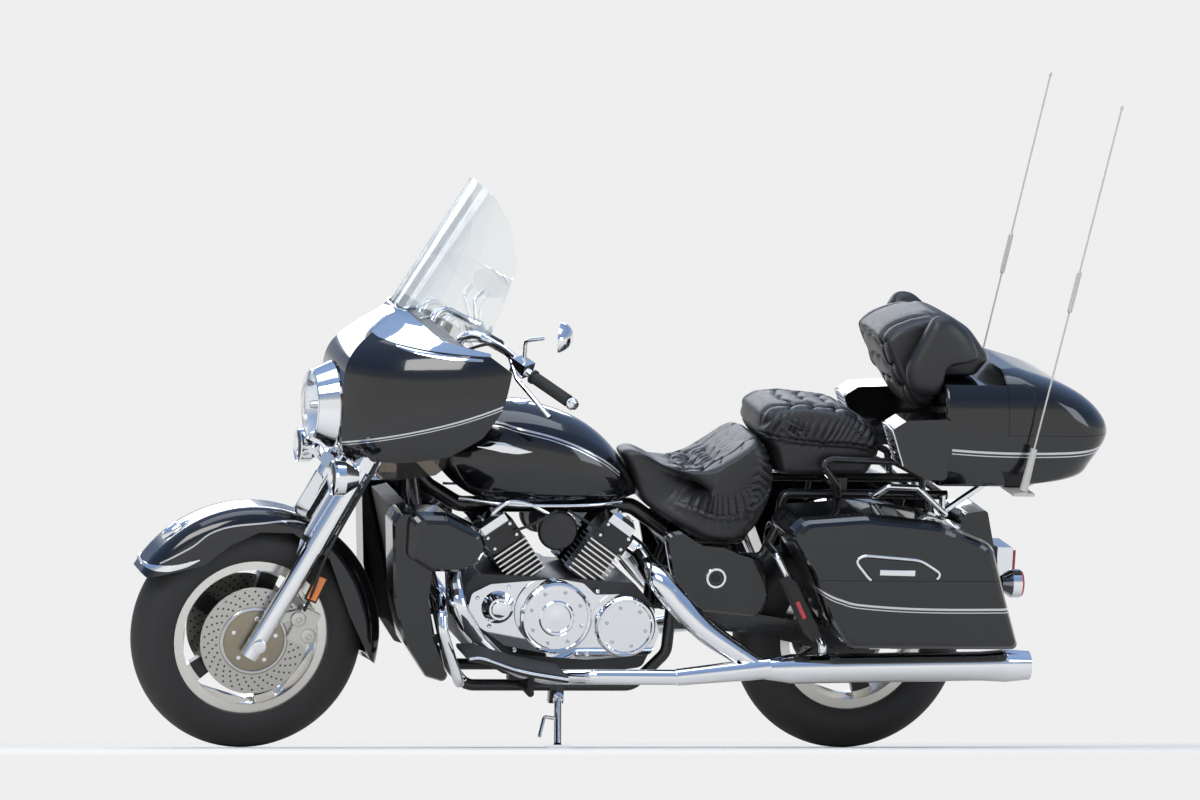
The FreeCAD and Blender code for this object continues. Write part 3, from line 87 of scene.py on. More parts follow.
def mesh_piece(name, points, faces, body, slot, material=None):
    """A mesh from bike-frame points and face index tuples that rides on a body. Its material has the slot's
    name unless another is given."""
    mesh = bpy.data.meshes.new(name)
    mesh.from_pydata(row(points, body in STEERED).tolist(), [], faces)
    mesh.update()
    mesh.polygons.foreach_set("use_smooth", np.ones(len(mesh.polygons), bool))
    obj = bpy.data.objects.new(name, mesh)
    bpy.context.scene.collection.objects.link(obj)
    mesh.set_sharp_from_angle(angle=SMOOTH_ANGLE)
    mesh.materials.append(MAT[material or slot])
    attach(obj, body)
    outward(obj)
    return obj


def grid_faces(rows, cols, close_rows=False, caps=True):
    """Quads of a rows by cols grid whose rows are rings, with flat caps on the first and last."""
    i, j = np.meshgrid(np.arange(rows if close_rows else rows - 1), np.arange(cols), indexing="ij")
    a = i * cols + j
    b = i * cols + (j + 1) % cols
    d = ((i + 1) % rows) * cols + j
    e = ((i + 1) % rows) * cols + (j + 1) % cols
    faces = np.stack([a, d, e, b], -1).reshape(-1, 4).tolist()
    if caps:
        faces.append(list(range(cols)))
        faces.append(list(range(rows * cols - 1, (rows - 1) * cols - 1, -1)))
    return faces


def surface(name, grid, body, slot, material=None, close_rows=False, caps=True):
    """A grid surface of rings of points."""
    faces = grid_faces(*grid.shape[:2], close_rows, caps)
    return mesh_piece(name, grid.reshape(-1, 3), faces, body, slot, material)


def outward(obj):
    """Face directions made to point out of the closed surface."""
    bm = bmesh.new()
    bm.from_mesh(obj.data)
    bmesh.ops.recalc_face_normals(bm, faces=bm.faces)
    bm.to_mesh(obj.data)
    bm.free()


def smooth_path(points, per=8):
    """Catmull-Rom curve through the points, per samples a span."""
    p = np.asarray(points, float)
    p = np.vstack([2 * p[0] - p[1], p, 2 * p[-1] - p[-2]])
    t = np.linspace(0, 1, per, endpoint=False)[:, None]
    parts = []
    for i in range(1, len(p) - 2):
        a, b, c, d = p[i - 1], p[i], p[i + 1], p[i + 2]
        parts.append(0.5 * ((2 * b) + (c - a) * t + (2 * a - 5 * b + 4 * c - d) * t ** 2
                            + (3 * b - a - 3 * c + d) * t ** 3))
    parts.append(p[-2][None])
    return np.vstack(parts)


def unit(vectors):
    """Vectors, along the last axis, brought to length one."""
    return vectors / np.linalg.norm(vectors, axis=-1, keepdims=True)


def spread_over(values, count):
    """One value, or values at even steps, brought to the given count of steps."""
    return np.interp(np.linspace(0, 1, count), np.linspace(0, 1, np.size(values)), np.atleast_1d(values))


def aside(axis):
    """A direction square to the axis, level unless the axis stands nearly upright."""
    side = np.cross(axis, [0, 0, 1.0])
    return side if np.linalg.norm(side) >= 0.2 else np.cross(axis, [1.0, 0, 0])


def circle(side, other, around):
    """Full circle by two unit vectors square to each other, or one for each pair of them."""
    angle = np.linspace(0, 2 * math.pi, around, endpoint=False)[:, None]
    return np.cos(angle) * side[..., None, :] + np.sin(angle) * other[..., None, :]


def sweep(name, points, radius, body, slot, material=None, per=8, around=14, smooth=True):
    """A round tube of the given radius or radii along a curve through the points, its ends flat."""
    path = smooth_path(points, per) if smooth else np.asarray(points, float)
    tangents = unit(np.gradient(path, axis=0))
    sides = [aside(tangents[0])]
    for tangent in tangents:
        sides.append(unit(sides[-1] - tangent * (sides[-1] @ tangent)))
    sides = np.array(sides[1:])
    rings = circle(sides, np.cross(tangents, sides), around) * spread_over(radius, len(path))[:, None, None]
    return surface(name, path[:, None] + rings, body, slot, material)


def revolve(profile, centre, axis, around):
    """Grid of a profile of (distance along the axis, radius) turned about an axis through the centre."""
    axis = unit(np.array(axis, float))
    side = unit(aside(axis))
    ring = circle(side, np.cross(axis, side), around)
    profile = np.array(profile, float)[:, :, None, None]
    return np.array(centre, float) + profile[:, 0] * axis + profile[:, 1] * ring


def turned(name, profile, centre, axis, body, slot, material=None, around=48):
    """A solid of revolution with flat ends."""
    return surface(name, revolve(profile, centre, axis, around), body, slot, material)


def ring_piece(name, section, centre, axis, body, slot, material=None, around=48):
    """A closed cross-section turned about the axis."""
    return surface(name, revolve(section, centre, axis, around), body, slot, material, close_rows=True,
                   caps=False)


def plate(name, outline, low, high, body, slot, material=None, round_by=1.5, axis=1):
    """An outline in two coordinates pulled out along the third one, its edges eased by a small inset."""
    pts = np.array(outline, float)
    middle = pts.mean(0)
    reach = np.abs(pts - middle).max(0)
    inset = middle + (pts - middle) * (1 - round_by / reach)
    step = math.copysign(round_by, high - low)
    levels = (inset, low), (pts, low + step), (pts, high - step), (inset, high)
    rings = [np.insert(shape, axis, level, axis=1) for shape, level in levels]
    return surface(name, np.array(rings), body, slot, material)


OUTSIDE = 600.0
RIBBON_TOP = ((-1, 0.15), (-0.85, 1.0), (0, 1.25), (0.85, 1.0), (1, 0.15))
trees = {}


def on_surface(node, spots, side, lift, steered=False):
    """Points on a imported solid's outer side at the (x, z) spots, found by a ray from outside, lifted off."""
    if node not in trees:
        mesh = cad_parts[node].data
        trees[node] = BVHTree.FromPolygons([v.co for v in mesh.vertices], [f.vertices for f in mesh.polygons])
    out = []
    for x, z in spots:
        start, inner = row([(x, side * OUTSIDE, z), (x, 0.0, z)], steered)
        hit, normal, _, _ = trees[node].ray_cast(Vector(start), Vector(inner - start).normalized())
        depth = (hit - Vector(start)).length * 1000.0 if hit else OUTSIDE
        turn = (LEAN_TURN @ STEER_TURN) if steered else LEAN_TURN
        facing = np.array(normal) @ turn if hit else np.array((0.0, side, 0.0))
        if facing[1] * side < 0:
            facing = -facing
        out.append(np.array((x, side * (OUTSIDE - depth), z)) + facing * lift)
    return np.array(out)


def ribbon(name, node, spots, side, width, lift, body, slot, material=None, steered=False, per=6):
    """A flat strip on a piece's side: a thin closed section carried along a curve of surface points."""
    line = smooth_path([(x, 0, z) for x, z in spots], per)[:, (0, 2)]
    step = np.gradient(line, axis=0)
    across = unit(np.stack([-step[:, 1], step[:, 0]], 1))
    half = spread_over(width, len(line)) / 2
    section = [(share, lift * height) for share, height in RIBBON_TOP] + [(0.8, 0.12), (-0.8, 0.12)]
    rings = [on_surface(node, line + across * (half * share)[:, None], side, height, steered)
             for share, height in section]
    return surface(name, np.stack(rings, 1), body, slot, material)


# Materials: every one is procedural, from the object's own coordinates.


def new_material(name):
    """A material with its tree and its shader."""
    material = bpy.data.materials.new(name)
    material.use_nodes = True
    tree = material.node_tree
    return material, tree, tree.nodes["Principled BSDF"]


def link(a, b):
    """Join an output to an input of the same tree."""
    a.id_data.links.new(a, b)


def add(tree, kind):
    """A new shader node of the kind."""
    return tree.nodes.new("ShaderNode" + kind)


def put(node, **values):
    """Values of a node's inputs, by their names with _ for each space."""
    for name, value in values.items():
        node.inputs[name.replace("_", " ")].default_value = value


def calc(kind, *values, clamp=False):
    """Output of a sum done on numbers and outputs, at least one of them an output."""
    outputs = [value for value in values if not isinstance(value, (int, float))]
    node = add(outputs[0].id_data, "Math")
    node.operation = kind
    node.use_clamp = clamp
    for value, socket in zip(values, node.inputs):
        if isinstance(value, (int, float)):
            socket.default_value = value
        else:
            link(value, socket)
    return node.outputs[0]


times, plus, minus, above, below = [partial(calc, kind) for kind in
                                    ("MULTIPLY", "ADD", "SUBTRACT", "GREATER_THAN", "LESS_THAN")]


def blend(share, a, b):
    """Colour that goes from a to b by the share, each of them a colour or an output."""
    node = add(share.id_data, "Mix")
    node.data_type = "RGBA"
    link(share, node.inputs["Factor"])
    for name, value in (("A", a), ("B", b)):
        if isinstance(value, tuple):
            node.inputs[name].default_value = (*value, 1)
        else:
            link(value, node.inputs[name])
    return node.outputs["Result"]


def raise_by(height, shader, strength, distance):
    """Fine relief of the shader by a height."""
    node = add(height.id_data, "Bump")
    put(node, Strength=strength, Distance=distance)
    link(height, node.inputs["Height"])
    link(node.outputs["Normal"], shader.inputs["Normal"])


def shown_rays(tree):
    """One for rays that show a surface: from the camera, off a mirror or through glass."""
    rays = add(tree, "LightPath").outputs
    indirect = calc("MAXIMUM", rays["Is Glossy Ray"], rays["Is Transmission Ray"])
    return calc("MAXIMUM", rays["Is Camera Ray"], indirect)


def make_wear_group():
    """Shared group: noise of the object's coordinates gives a roughness change and a fine height."""
    group = bpy.data.node_groups.new("surface_wear", "ShaderNodeTree")
    for way, names in (("INPUT", ("Scale", "Base", "Spread")), ("OUTPUT", ("Roughness", "Height"))):
        for name in names:
            group.interface.new_socket(name, in_out=way, socket_type="NodeSocketFloat")
    start = group.nodes.new("NodeGroupInput")
    end = group.nodes.new("NodeGroupOutput")
    coords = add(group, "TexCoord")
    noise = add(group, "TexNoise")
    noise.inputs["Detail"].default_value = 6
    link(coords.outputs["Object"], noise.inputs["Vector"])
    link(start.outputs["Scale"], noise.inputs["Scale"])
    centred = minus(noise.outputs["Fac"], 0.5)
    link(calc("MULTIPLY_ADD", centred, start.outputs["Spread"], start.outputs["Base"]),
         end.inputs["Roughness"])
    link(noise.outputs["Fac"], end.inputs["Height"])
    return group


WEAR = make_wear_group()


def add_wear(tree, shader, scale, base, spread, bump=0.0, distance=0.0005):
    """Roughness round a base value, and relief when a bump is given, by the shared group."""
    wear = add(tree, "Group")
    wear.node_tree = WEAR
    put(wear, Scale=scale, Base=base, Spread=spread)
    link(wear.outputs["Roughness"], shader.inputs["Roughness"])
    if bump:
        raise_by(wear.outputs["Height"], shader, bump, distance)


def simple(name, colour, metallic, rough, spread, scale, bump=0.0, coat=0.0, distance=0.0005):
    """One colour with changing roughness."""
    material, tree, shader = new_material(name)
    put(shader, Base_Color=(*colour, 1), Metallic=metallic, Coat_Weight=coat, Coat_Roughness=0.03)
    add_wear(tree, shader, scale, rough, spread, bump, distance)
    return material


def bike_coords(tree, steered):
    """Outputs x, y, z in bike-frame millimetres from the object's coordinates."""
    turn = (LEAN_TURN @ STEER_TURN) if steered else LEAN_TURN
    base = PIVOT if steered else np.zeros(3)
    coords = add(tree, "TexCoord")
    shift = add(tree, "VectorMath")
    shift.operation = "SUBTRACT"
    shift.inputs[1].default_value = row(base)
    link(coords.outputs["Object"], shift.inputs[0])
    outs = []
    for i in range(3):
        dot = add(tree, "VectorMath")
        dot.operation = "DOT_PRODUCT"
        dot.inputs[1].default_value = turn[:, i] * 1000.0
        link(shift.outputs[0], dot.inputs[0])
        outs.append(plus(dot.outputs["Value"], float(base[i])))
    return outs


def stripe_mask(tree, x, y, z, points, offset, half, outer):
    """One where a point lies within half of the drawn line, on the outer sides of the piece only."""
    xs = [p[0] for p in points]
    zs = [p[1] for p in points]
    x_low, x_high, z_low, z_high = min(xs), max(xs), min(zs) - 1, max(zs) + 1
    t = calc("DIVIDE", minus(x, x_low), x_high - x_low)
    curve = add(tree, "FloatCurve")
    line = curve.mapping.curves[0]
    order = sorted(points)
    spots = [((px - x_low) / (x_high - x_low), (pz - z_low) / (z_high - z_low)) for px, pz in order]
    line.points[0].location = spots[0]
    line.points[1].location = spots[-1]
    for spot in spots[1:-1]:
        line.points.new(*spot)
    curve.mapping.update()
    link(t, curve.inputs["Value"])
    level = plus(times(curve.outputs[0], z_high - z_low), z_low + offset)
    near = below(calc("ABSOLUTE", minus(z, level)), half)
    inside = times(above(t, 0.0), below(t, 1.0))
    sides = above(calc("ABSOLUTE", y), outer)
    return times(times(near, inside), sides)


PAINT = (0.004, 0.0042, 0.0055)
SILVER = (0.62, 0.63, 0.66)
SATIN_BLACK = (0.012, 0.012, 0.013)


def paint(name, stripes=(), steered=False):
    """Gloss black clear coat with silver pinstripes along drawn lines."""
    material, tree, shader = new_material(name)
    put(shader, Coat_Weight=1.0, Coat_Roughness=0.02, Specular_IOR_Level=0.25)
    add_wear(tree, shader, 35, 0.16, 0.04)
    mask = None
    if stripes:
        x, y, z = bike_coords(tree, steered)
        for points, offset, half, outer in stripes:
            one = stripe_mask(tree, x, y, z, points, offset, half, outer)
            mask = one if mask is None else calc("MAXIMUM", mask, one)
        link(blend(mask, PAINT, SILVER), shader.inputs["Base Color"])
        link(times(mask, 0.6), shader.inputs["Metallic"])
    else:
        shader.inputs["Base Color"].default_value = (*PAINT, 1)
    return material


def hypotenuse(a, b):
    """Length of the diagonal over two outputs."""
    return calc("SQRT", plus(times(a, a), times(b, b)))


def wheel_coords(tree, centre, steered):
    """Distance from the wheel's axle line, the angle about it and the place along it, in bike-frame terms."""
    x, y, z = bike_coords(tree, steered)
    dx = minus(x, float(centre[0]))
    dz = minus(z, float(centre[2]))
    distance = hypotenuse(dx, dz)
    return distance, calc("ARCTAN2", dz, dx), y


def tyre_material(name, centre, steered, crown):
    """Black rubber: tread grooves near the crown by waves of angle and width, fine rings on the side wall."""
    material, tree, shader = new_material(name)
    shader.inputs["Base Color"].default_value = (0.018, 0.018, 0.019, 1)
    add_wear(tree, shader, 150, 0.62, 0.15)
    distance, angle, y = wheel_coords(tree, centre, steered)
    off = calc("ABSOLUTE", y)
    slant = plus(times(angle, 34.0), times(off, 0.11))
    across = above(calc("SINE", slant), 0.8)
    bands = above(calc("COSINE", times(y, 0.27)), 0.93)
    groove = calc("MAXIMUM", across, bands)
    tread = times(groove, above(distance, crown))
    rings = above(calc("SINE", times(distance, 0.9)), 0.8)
    wall = times(times(rings, 0.12), below(distance, crown - 22))
    raise_by(minus(wall, tread), shader, 1.0, 0.009)
    return material


def rim_material(name, centre, steered, lip):
    """Polished outer rim, black hub and spokes."""
    material, tree, shader = new_material(name)
    distance, _, _ = wheel_coords(tree, centre, steered)
    bright = above(distance, lip)
    link(blend(bright, SATIN_BLACK, (0.78, 0.76, 0.72)), shader.inputs["Base Color"])
    link(bright, shader.inputs["Metallic"])
    add_wear(tree, shader, 70, 0.2, 0.1)
    return material


HOLE_PITCH = 11.0
HOLES_ROUND = 30


def disc_material(name, centre, steered, low, high):
    """Ground steel ring with rows of drilled holes along curved lines, drawn as near-black dots of painted
    shade rather than cut, and a satin carrier inside.
    """
    material, tree, shader = new_material(name)
    distance, angle, _ = wheel_coords(tree, centre, steered)
    ring = calc("DIVIDE", minus(distance, low + 4.0), HOLE_PITCH)
    ring_off = minus(calc("FRACT", ring), 0.5)
    ring_no = calc("FLOOR", ring)
    turns = times(plus(angle, times(ring_no, 0.075)), HOLES_ROUND / (2 * math.pi))
    turn_off = minus(calc("FRACT", turns), 0.5)
    arc = times(turn_off, times(distance, 2 * math.pi / HOLES_ROUND))
    gap = hypotenuse(arc, times(ring_off, HOLE_PITCH))
    # The holes are not cut: each is a near-black, non-metal dot, painted shade standing in for the dark seen
    # through a hole.
    hole_shade = times(below(gap, 2.9), times(above(distance, low + 4.0), below(distance, high - 3.0)))
    outer = above(distance, low)
    steel = blend(outer, (0.33, 0.29, 0.22), (0.55, 0.53, 0.5))
    # Painted shade: the hole dots take a near-black colour and lose their metal.
    link(blend(hole_shade, steel, (0.01, 0.01, 0.01)), shader.inputs["Base Color"])
    link(minus(1.0, hole_shade), shader.inputs["Metallic"])
    add_wear(tree, shader, 90, 0.3, 0.12)
    return material


def glass(name, colour, rough=0.0, ior=1.45, clear=0.0):
    """Glass whose shadow rays, and by the share clear all others, go straight through."""
    material, tree, shader = new_material(name)
    put(shader, Base_Color=(*colour, 1), Transmission_Weight=1.0, IOR=ior, Roughness=rough)
    path = add(tree, "LightPath")
    through = add(tree, "BsdfTransparent")
    through.inputs["Color"].default_value = (*[c ** 0.5 for c in colour], 1)
    mix = add(tree, "MixShader")
    out = tree.nodes["Material Output"]
    share = calc("MAXIMUM", path.outputs["Is Shadow Ray"], clear)
    link(share, mix.inputs["Fac"])
    link(shader.outputs[0], mix.inputs[1])
    link(through.outputs[0], mix.inputs[2])
    link(mix.outputs[0], out.inputs["Surface"])
    return material


def leather(name):
    """Soft black leather: cell grain and fine noise."""
    material, tree, shader = new_material(name)
    put(shader, Base_Color=(0.016, 0.016, 0.018, 1), Specular_IOR_Level=0.55)
    add_wear(tree, shader, 40, 0.42, 0.12)
    coords = add(tree, "TexCoord")
    cells = add(tree, "TexVoronoi")
    cells.inputs["Scale"].default_value = 420
    link(coords.outputs["Object"], cells.inputs["Vector"])
    raise_by(cells.outputs["Distance"], shader, 0.35, 0.0006)
    return material


CYLINDER_OUT = 88.0


def fins_material(name):
    """Black barrels whose fin edges, the faces away from the cylinder's middle, are machined bright."""
    material, tree, shader = new_material(name)
    _, y, _ = bike_coords(tree, False)
    off = minus(calc("ABSOLUTE", y), CYLINDER_OUT)
    edge = above(off, 49.0)
    link(blend(edge, SATIN_BLACK, (0.8, 0.79, 0.77)), shader.inputs["Base Color"])
    link(edge, shader.inputs["Metallic"])
    add_wear(tree, shader, 80, 0.3, 0.1)
    return material


TANK_LINE = ((1114, 932), (1060, 938), (1002, 925), (889, 898), (774, 849), (701, 799))
BAG_LINE = ((290, 585), (259, 572), (200, 541), (142, 516), (85, 503), (-343, 493))
TRUNK_LINE = ((-190, 907), (-391, 899), (-560, 904), (-640, 925))
FAIR_LINE = ((1524, 872), (1451, 902), (1343, 943), (1207, 992), (1106, 1030))
FENDER_LINE = ((1975, 540), (1895, 585), (1800, 640), (1704, 652), (1600, 655), (1510, 600))
MAT = {
    "chrome": simple("chrome", (0.86, 0.87, 0.89), 1.0, 0.05, 0.03, 45),
    "satin_chrome": simple("satin_chrome", (0.6, 0.6, 0.6), 1.0, 0.22, 0.08, 60),
    "black_paint": paint("black_paint"),
    "tank_paint": paint("tank_paint", ((TANK_LINE, 0, 2.6, 60), (TANK_LINE, -9, 1.3, 60))),
    "bag_paint": paint("bag_paint", ((BAG_LINE, 0, 3.0, 330), (BAG_LINE, -9, 1.4, 330))),
    "trunk_paint": paint("trunk_paint", ((TRUNK_LINE, 0, 3.2, 150), (TRUNK_LINE, -10, 1.5, 150))),
    "fairing_paint": paint("fairing_paint", ((FAIR_LINE, 0, 2.4, 110), (FAIR_LINE, -8, 1.3, 110)), True),
    "fender_paint": paint("fender_paint", ((FENDER_LINE, 0, 2.2, 75),), True),
    "frame_paint": simple("frame_paint", (0.01, 0.01, 0.011), 0.0, 0.28, 0.08, 50, coat=0.4),
    "dark_plastic": simple("dark_plastic", (0.014, 0.014, 0.015), 0.0, 0.5, 0.1, 180, 0.12, distance=0.0004),
    "grip_rubber": simple("grip_rubber", (0.015, 0.015, 0.015), 0.0, 0.7, 0.1, 300, 0.3),
    "board_rubber": simple("board_rubber", (0.02, 0.02, 0.02), 0.0, 0.7, 0.1, 260, 0.3),
    "cast_metal": simple("cast_metal", (0.62, 0.61, 0.58), 0.9, 0.35, 0.1, 220, 0.15),
    "engine_black": fins_material("engine_black"),
    "crank_metal": simple("crank_metal", (0.03, 0.03, 0.032), 0.2, 0.42, 0.1, 120, 0.1),
    "leather": leather("leather"),
    "lamp_glass": glass("lamp_glass", (0.96, 0.98, 1.0)),
    "screen": glass("screen", (0.93, 0.96, 0.97), 0.0, 1.18, 0.35),
    "smoked": glass("smoked", (0.13, 0.11, 0.09), 0.05, 1.3),
    "red_lens": simple("red_lens", (0.5, 0.01, 0.015), 0.0, 0.12, 0.03, 60, coat=1.0),
    "amber": simple("amber", (0.85, 0.22, 0.02), 0.0, 0.14, 0.03, 60, coat=1.0),
    "antenna_paint": simple("antenna_paint", (0.55, 0.55, 0.54), 0.1, 0.35, 0.06, 90),
    "mirror_glass": simple("mirror_glass", (0.9, 0.92, 0.94), 1.0, 0.02, 0.01, 20),
    "radiator_core": simple("radiator_core", (0.02, 0.02, 0.022), 0.3, 0.55, 0.15, 400, 0.5, distance=0.001),
    "tyre_f": tyre_material("tyre_f", AXLE, True, 292.0),
    "tyre_r": tyre_material("tyre_r", HUB, False, 294.0),
    "rim_f": rim_material("rim_f", AXLE, True, 178.0),
    "rim_r": rim_material("rim_r", HUB, False, 166.0),
    "discs_f": disc_material("discs_f", AXLE, True, 96.0, 149.0),
    "disc_r": disc_material("disc_r", HUB, False, 88.0, 141.0),
}
NODE_MATERIALS = {
    "front_tyre": "tyre_f", "rear_tyre": "tyre_r", "front_rim": "rim_f", "rear_rim": "rim_r",
    "front_discs": "discs_f", "rear_disc": "disc_r", "front_fender": "fender_paint", "grips": "grip_rubber",
    "front_calipers": "cast_metal", "fairing": "fairing_paint", "headlight": "lamp_glass",
    "windscreen": "screen", "dash": "dark_plastic", "deflectors": "smoked", "frame": "frame_paint",
    "radiator": "radiator_core", "engine_block": "crank_metal", "cylinders": "engine_black",
    "lower_fairings": "black_paint", "floorboards": "board_rubber", "fuel_tank": "tank_paint",
    "rider_seat": "leather", "passenger_seat": "leather", "backrest": "leather", "side_covers": "black_paint",
    "rear_fender": "black_paint", "swingarm": "frame_paint", "bag_tubs": "bag_paint",
    "bag_lid_left": "bag_paint", "bag_lid_right": "bag_paint", "trunk_tub": "trunk_paint",
    "trunk_lid": "trunk_paint", "grab_rails": "frame_paint", "antennas": "antenna_paint",
}
for name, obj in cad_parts.items():
    obj.data.materials.clear()
    obj.data.materials.append(MAT[NODE_MATERIALS.get(name, "chrome")])
    obj.data.polygons.foreach_set("use_smooth", np.ones(len(obj.data.polygons), bool))
    obj.data.set_sharp_from_angle(angle=math.radians(30))

# Lamps.

LAMP_CENTRE = (1500, 0, 964)
lens = turned("headlight_lens", ((75, 0.1), (73, 30), (67, 60), (57, 88), (53, 93.3), (56, 93.8), (61, 89),
                                 (70, 60), (76, 30), (78, 0.1)), LAMP_CENTRE, (1, 0, 0), "fork", "lamp_glass")
turned("headlight_bowl", ((4, 0.1), (4, 20), (8, 40), (21, 68), (40, 86), (51, 92), (49, 94), (4, 94),
                          (0, 80), (0, 0.1)), LAMP_CENTRE, (1, 0, 0), "fork", "chrome", "mirror_glass")
turned("headlight_bulb", ((4, 0.1), (4, 15), (28, 15), (34, 12), (52, 11), (57, 8), (58, 0.1)), LAMP_CENTRE,
       (1, 0, 0), "fork", "chrome", "satin_chrome", around=24)
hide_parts("headlight")
ring_piece("headlight_rim", ((52, 96), (57, 98), (60, 96), (57, 92.5)), LAMP_CENTRE, (1, 0, 0), "fork",
           "chrome")
for side, tag in SIDES:
    spot = (1532.2, side * 199, 804)
    turned("passing_lens_" + tag, ((0.2, 0.1), (0.2, 42), (3, 42), (8, 28), (10, 0.1)), spot, (1, 0, 0),
           "fork", "lamp_glass", around=36)
    ring_piece("passing_ring_" + tag, ((-3, 47.4), (3, 49), (6, 46), (3, 42.5), (0.2, 44)), spot, (1, 0, 0),
               "fork", "chrome", around=40)

# Seats: rounded cushions with seams, welts, folds and buttons.


def resample(points, count, passes=3):
    """Closed outline at even steps, its corners softened by that many passes of a three-point average."""
    p = np.array(points, float)
    p = np.vstack([p, p[:1]])
    length = np.concatenate([[0], np.cumsum(np.linalg.norm(np.diff(p, axis=0), axis=1))])
    t = np.linspace(0, length[-1], count, endpoint=False)
    out = np.stack([np.interp(t, length, p[:, 0]), np.interp(t, length, p[:, 1])], 1)
    for _ in range(passes):
        out = 0.25 * np.roll(out, 1, 0) + 0.5 * out + 0.25 * np.roll(out, -1, 0)
    return out


STATIONS = 91
AROUND = 360
SIDE_POWER = 3.5
SIDE_SHARE = 0.68


def shrunk(loop, middle, shares):
    """Coordinates of the outline brought to each share of its size about the middle."""
    return [middle[k] + (loop[:, k] - middle[k]) * shares[:, None] for k in (0, 1)]


def cushion(name, outline, half_of_x, node, pleat, buttons=(), squeeze=None, skirt=None):
    """Side outline carried across the width: each slice shrinks to the edges by a superellipse and goes on
    over the domed side to its middle. The surface dips by the pleat's depth, by a bell curve at each button
    and by seven shallow folds round it, inward in the slice by the depth and across by 0.7 % of the width for
    each millimetre of depth. Below the skirt's line the side steps in by 9 mm over 16 mm of height."""
    loop = resample(outline, AROUND, 50)
    middle = loop.mean(0) if squeeze is None else np.array(squeeze, float)
    t = np.sin(np.linspace(-1, 1, STATIONS) * math.pi / 2) * 0.9995
    shrink = SIDE_SHARE + (1 - SIDE_SHARE) * (1 - np.abs(t) ** SIDE_POWER) ** (1 / SIDE_POWER)
    rings = np.linspace(1, 0.03, 18)[1:]
    dome = 0.98 + 0.02 * (1 - rings ** 2)
    t = np.concatenate([-dome[::-1], 0.98 * t, dome])
    shrink = np.concatenate([SIDE_SHARE * rings[::-1], shrink, SIDE_SHARE * rings])
    x, z = shrunk(loop, middle, shrink)
    y = t[:, None] * half_of_x(loop[:, 0])
    radial = np.stack([x - middle[0], z - middle[1]], -1)
    radial /= np.linalg.norm(radial, axis=-1, keepdims=True) + 1e-9
    depth = pleat(x, y, z, radial)
    for bx, by, bz in buttons:
        gap = np.sqrt((x - bx) ** 2 + (y - by) ** 2 + (z - bz) ** 2)
        fold = 0.5 + 0.5 * np.cos(7 * np.arctan2(y - by, x - bx) + bx)
        depth = depth + 13.0 * np.exp(-(gap / 16.0) ** 2) + 5.0 * fold * np.exp(-((gap - 26) / 24.0) ** 2)
    x = x - radial[..., 0] * depth
    z = z - radial[..., 1] * depth
    y = y * (1 - 0.007 * depth)
    if skirt is not None:
        under = np.clip(-skirt(x, z) / 16.0, 0, 1)
        y = y - np.sign(y) * 9.0 * under ** 2 * (3 - 2 * under) * np.clip((np.abs(y) - 60) / 60, 0, 1)
    grid = np.stack([x, y, z], -1)
    obj = surface(name, grid, "chassis", "leather")
    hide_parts(node)


def bell(value, width):
    """Bell curve of one at zero."""
    return np.exp(-(value / width) ** 2)


def quilting(along, wide, places, seam, wave, face):
    """Deep cross folds at the places and a long seam each side at its wavy distance, on the face alone."""
    lines = sum(np.exp(-np.abs(along - p - 9 * np.sin(wide * 0.05)) / 7.0) for p in places)
    edge = np.exp(-np.abs(wide - seam - 6 * np.sin(along * wave)) / 6.0) * face
    return 9.0 * lines * face * (wide < 150) + 9.0 * edge


RIDER_OUT = ((693, 848), (650, 859), (592, 825), (506, 815), (450, 826), (367, 878), (318, 914), (280, 868),
             (262, 800), (270, 737), (305, 655), (359, 603), (474, 612), (600, 690), (634, 724), (640, 748),
             (669, 816))


def rider_half(x):
    """Half width: 185 mm behind, eased down to 68 mm at the nose by a cubic step."""
    share = np.clip((700 - x) / 290.0, 0, 1)
    return 68 + 117 * share ** 2 * (3 - 2 * share)


def gathers(along, away, reach):
    """Short folds that fan out of a seam: a wave of 21 mm whose phase drifts, squared so that the ridges are
    wide and the valleys narrow, which dies off by a bell curve of the distance from the seam."""
    wave = 0.5 + 0.5 * np.cos(along * 0.3 + 1.8 * np.sin(along * 0.041) + 0.05 * away)
    return wave ** 2 * np.exp(-((away - 0.8 * reach) / reach) ** 2)


RIDER_WELT = ((250, 878), (310, 737), (365, 697), (479, 702), (566, 735), (625, 777), (658, 850))
RIDER_HUB = (450, 880)


def rider_crest(x, z):
    """Distance inside the rider seat's welt, an outline in polar form about a point over the seat."""
    welt_x, welt_z = (np.array(RIDER_WELT) - RIDER_HUB).T
    x, z = x - RIDER_HUB[0], z - RIDER_HUB[1]
    reach = np.interp(np.arctan2(z, x), np.arctan2(welt_z, welt_x), np.hypot(welt_x, welt_z))
    return reach - np.hypot(x, z)


def pass_crest(x, z):
    """Height over the passenger seat's welt."""
    return z - np.interp(x, (-38, 60, 200, 300), (880, 898, 905, 918))


def rider_pleat(x, y, z, radial):
    """Cross folds between the pillows, a long seam each side, a welt round the side and gathers above."""
    top = np.clip((radial[..., 1] - 0.1) * 4, 0, 1) * (x < 575) * (x > 300)
    wide = np.abs(y)
    quilt = quilting(x, wide, (352, 412, 470, 528), 116, 0.07, top)
    inside = rider_crest(x, z)
    side = np.clip((wide - 70) / 50, 0, 1)
    welt = bell(inside, 4.0) * side
    folds = gathers(190 * np.arctan2(z - RIDER_HUB[1], x - RIDER_HUB[0]), inside, 34.0) * side * (z < 880)
    return quilt + 6.0 * welt + 6.0 * folds


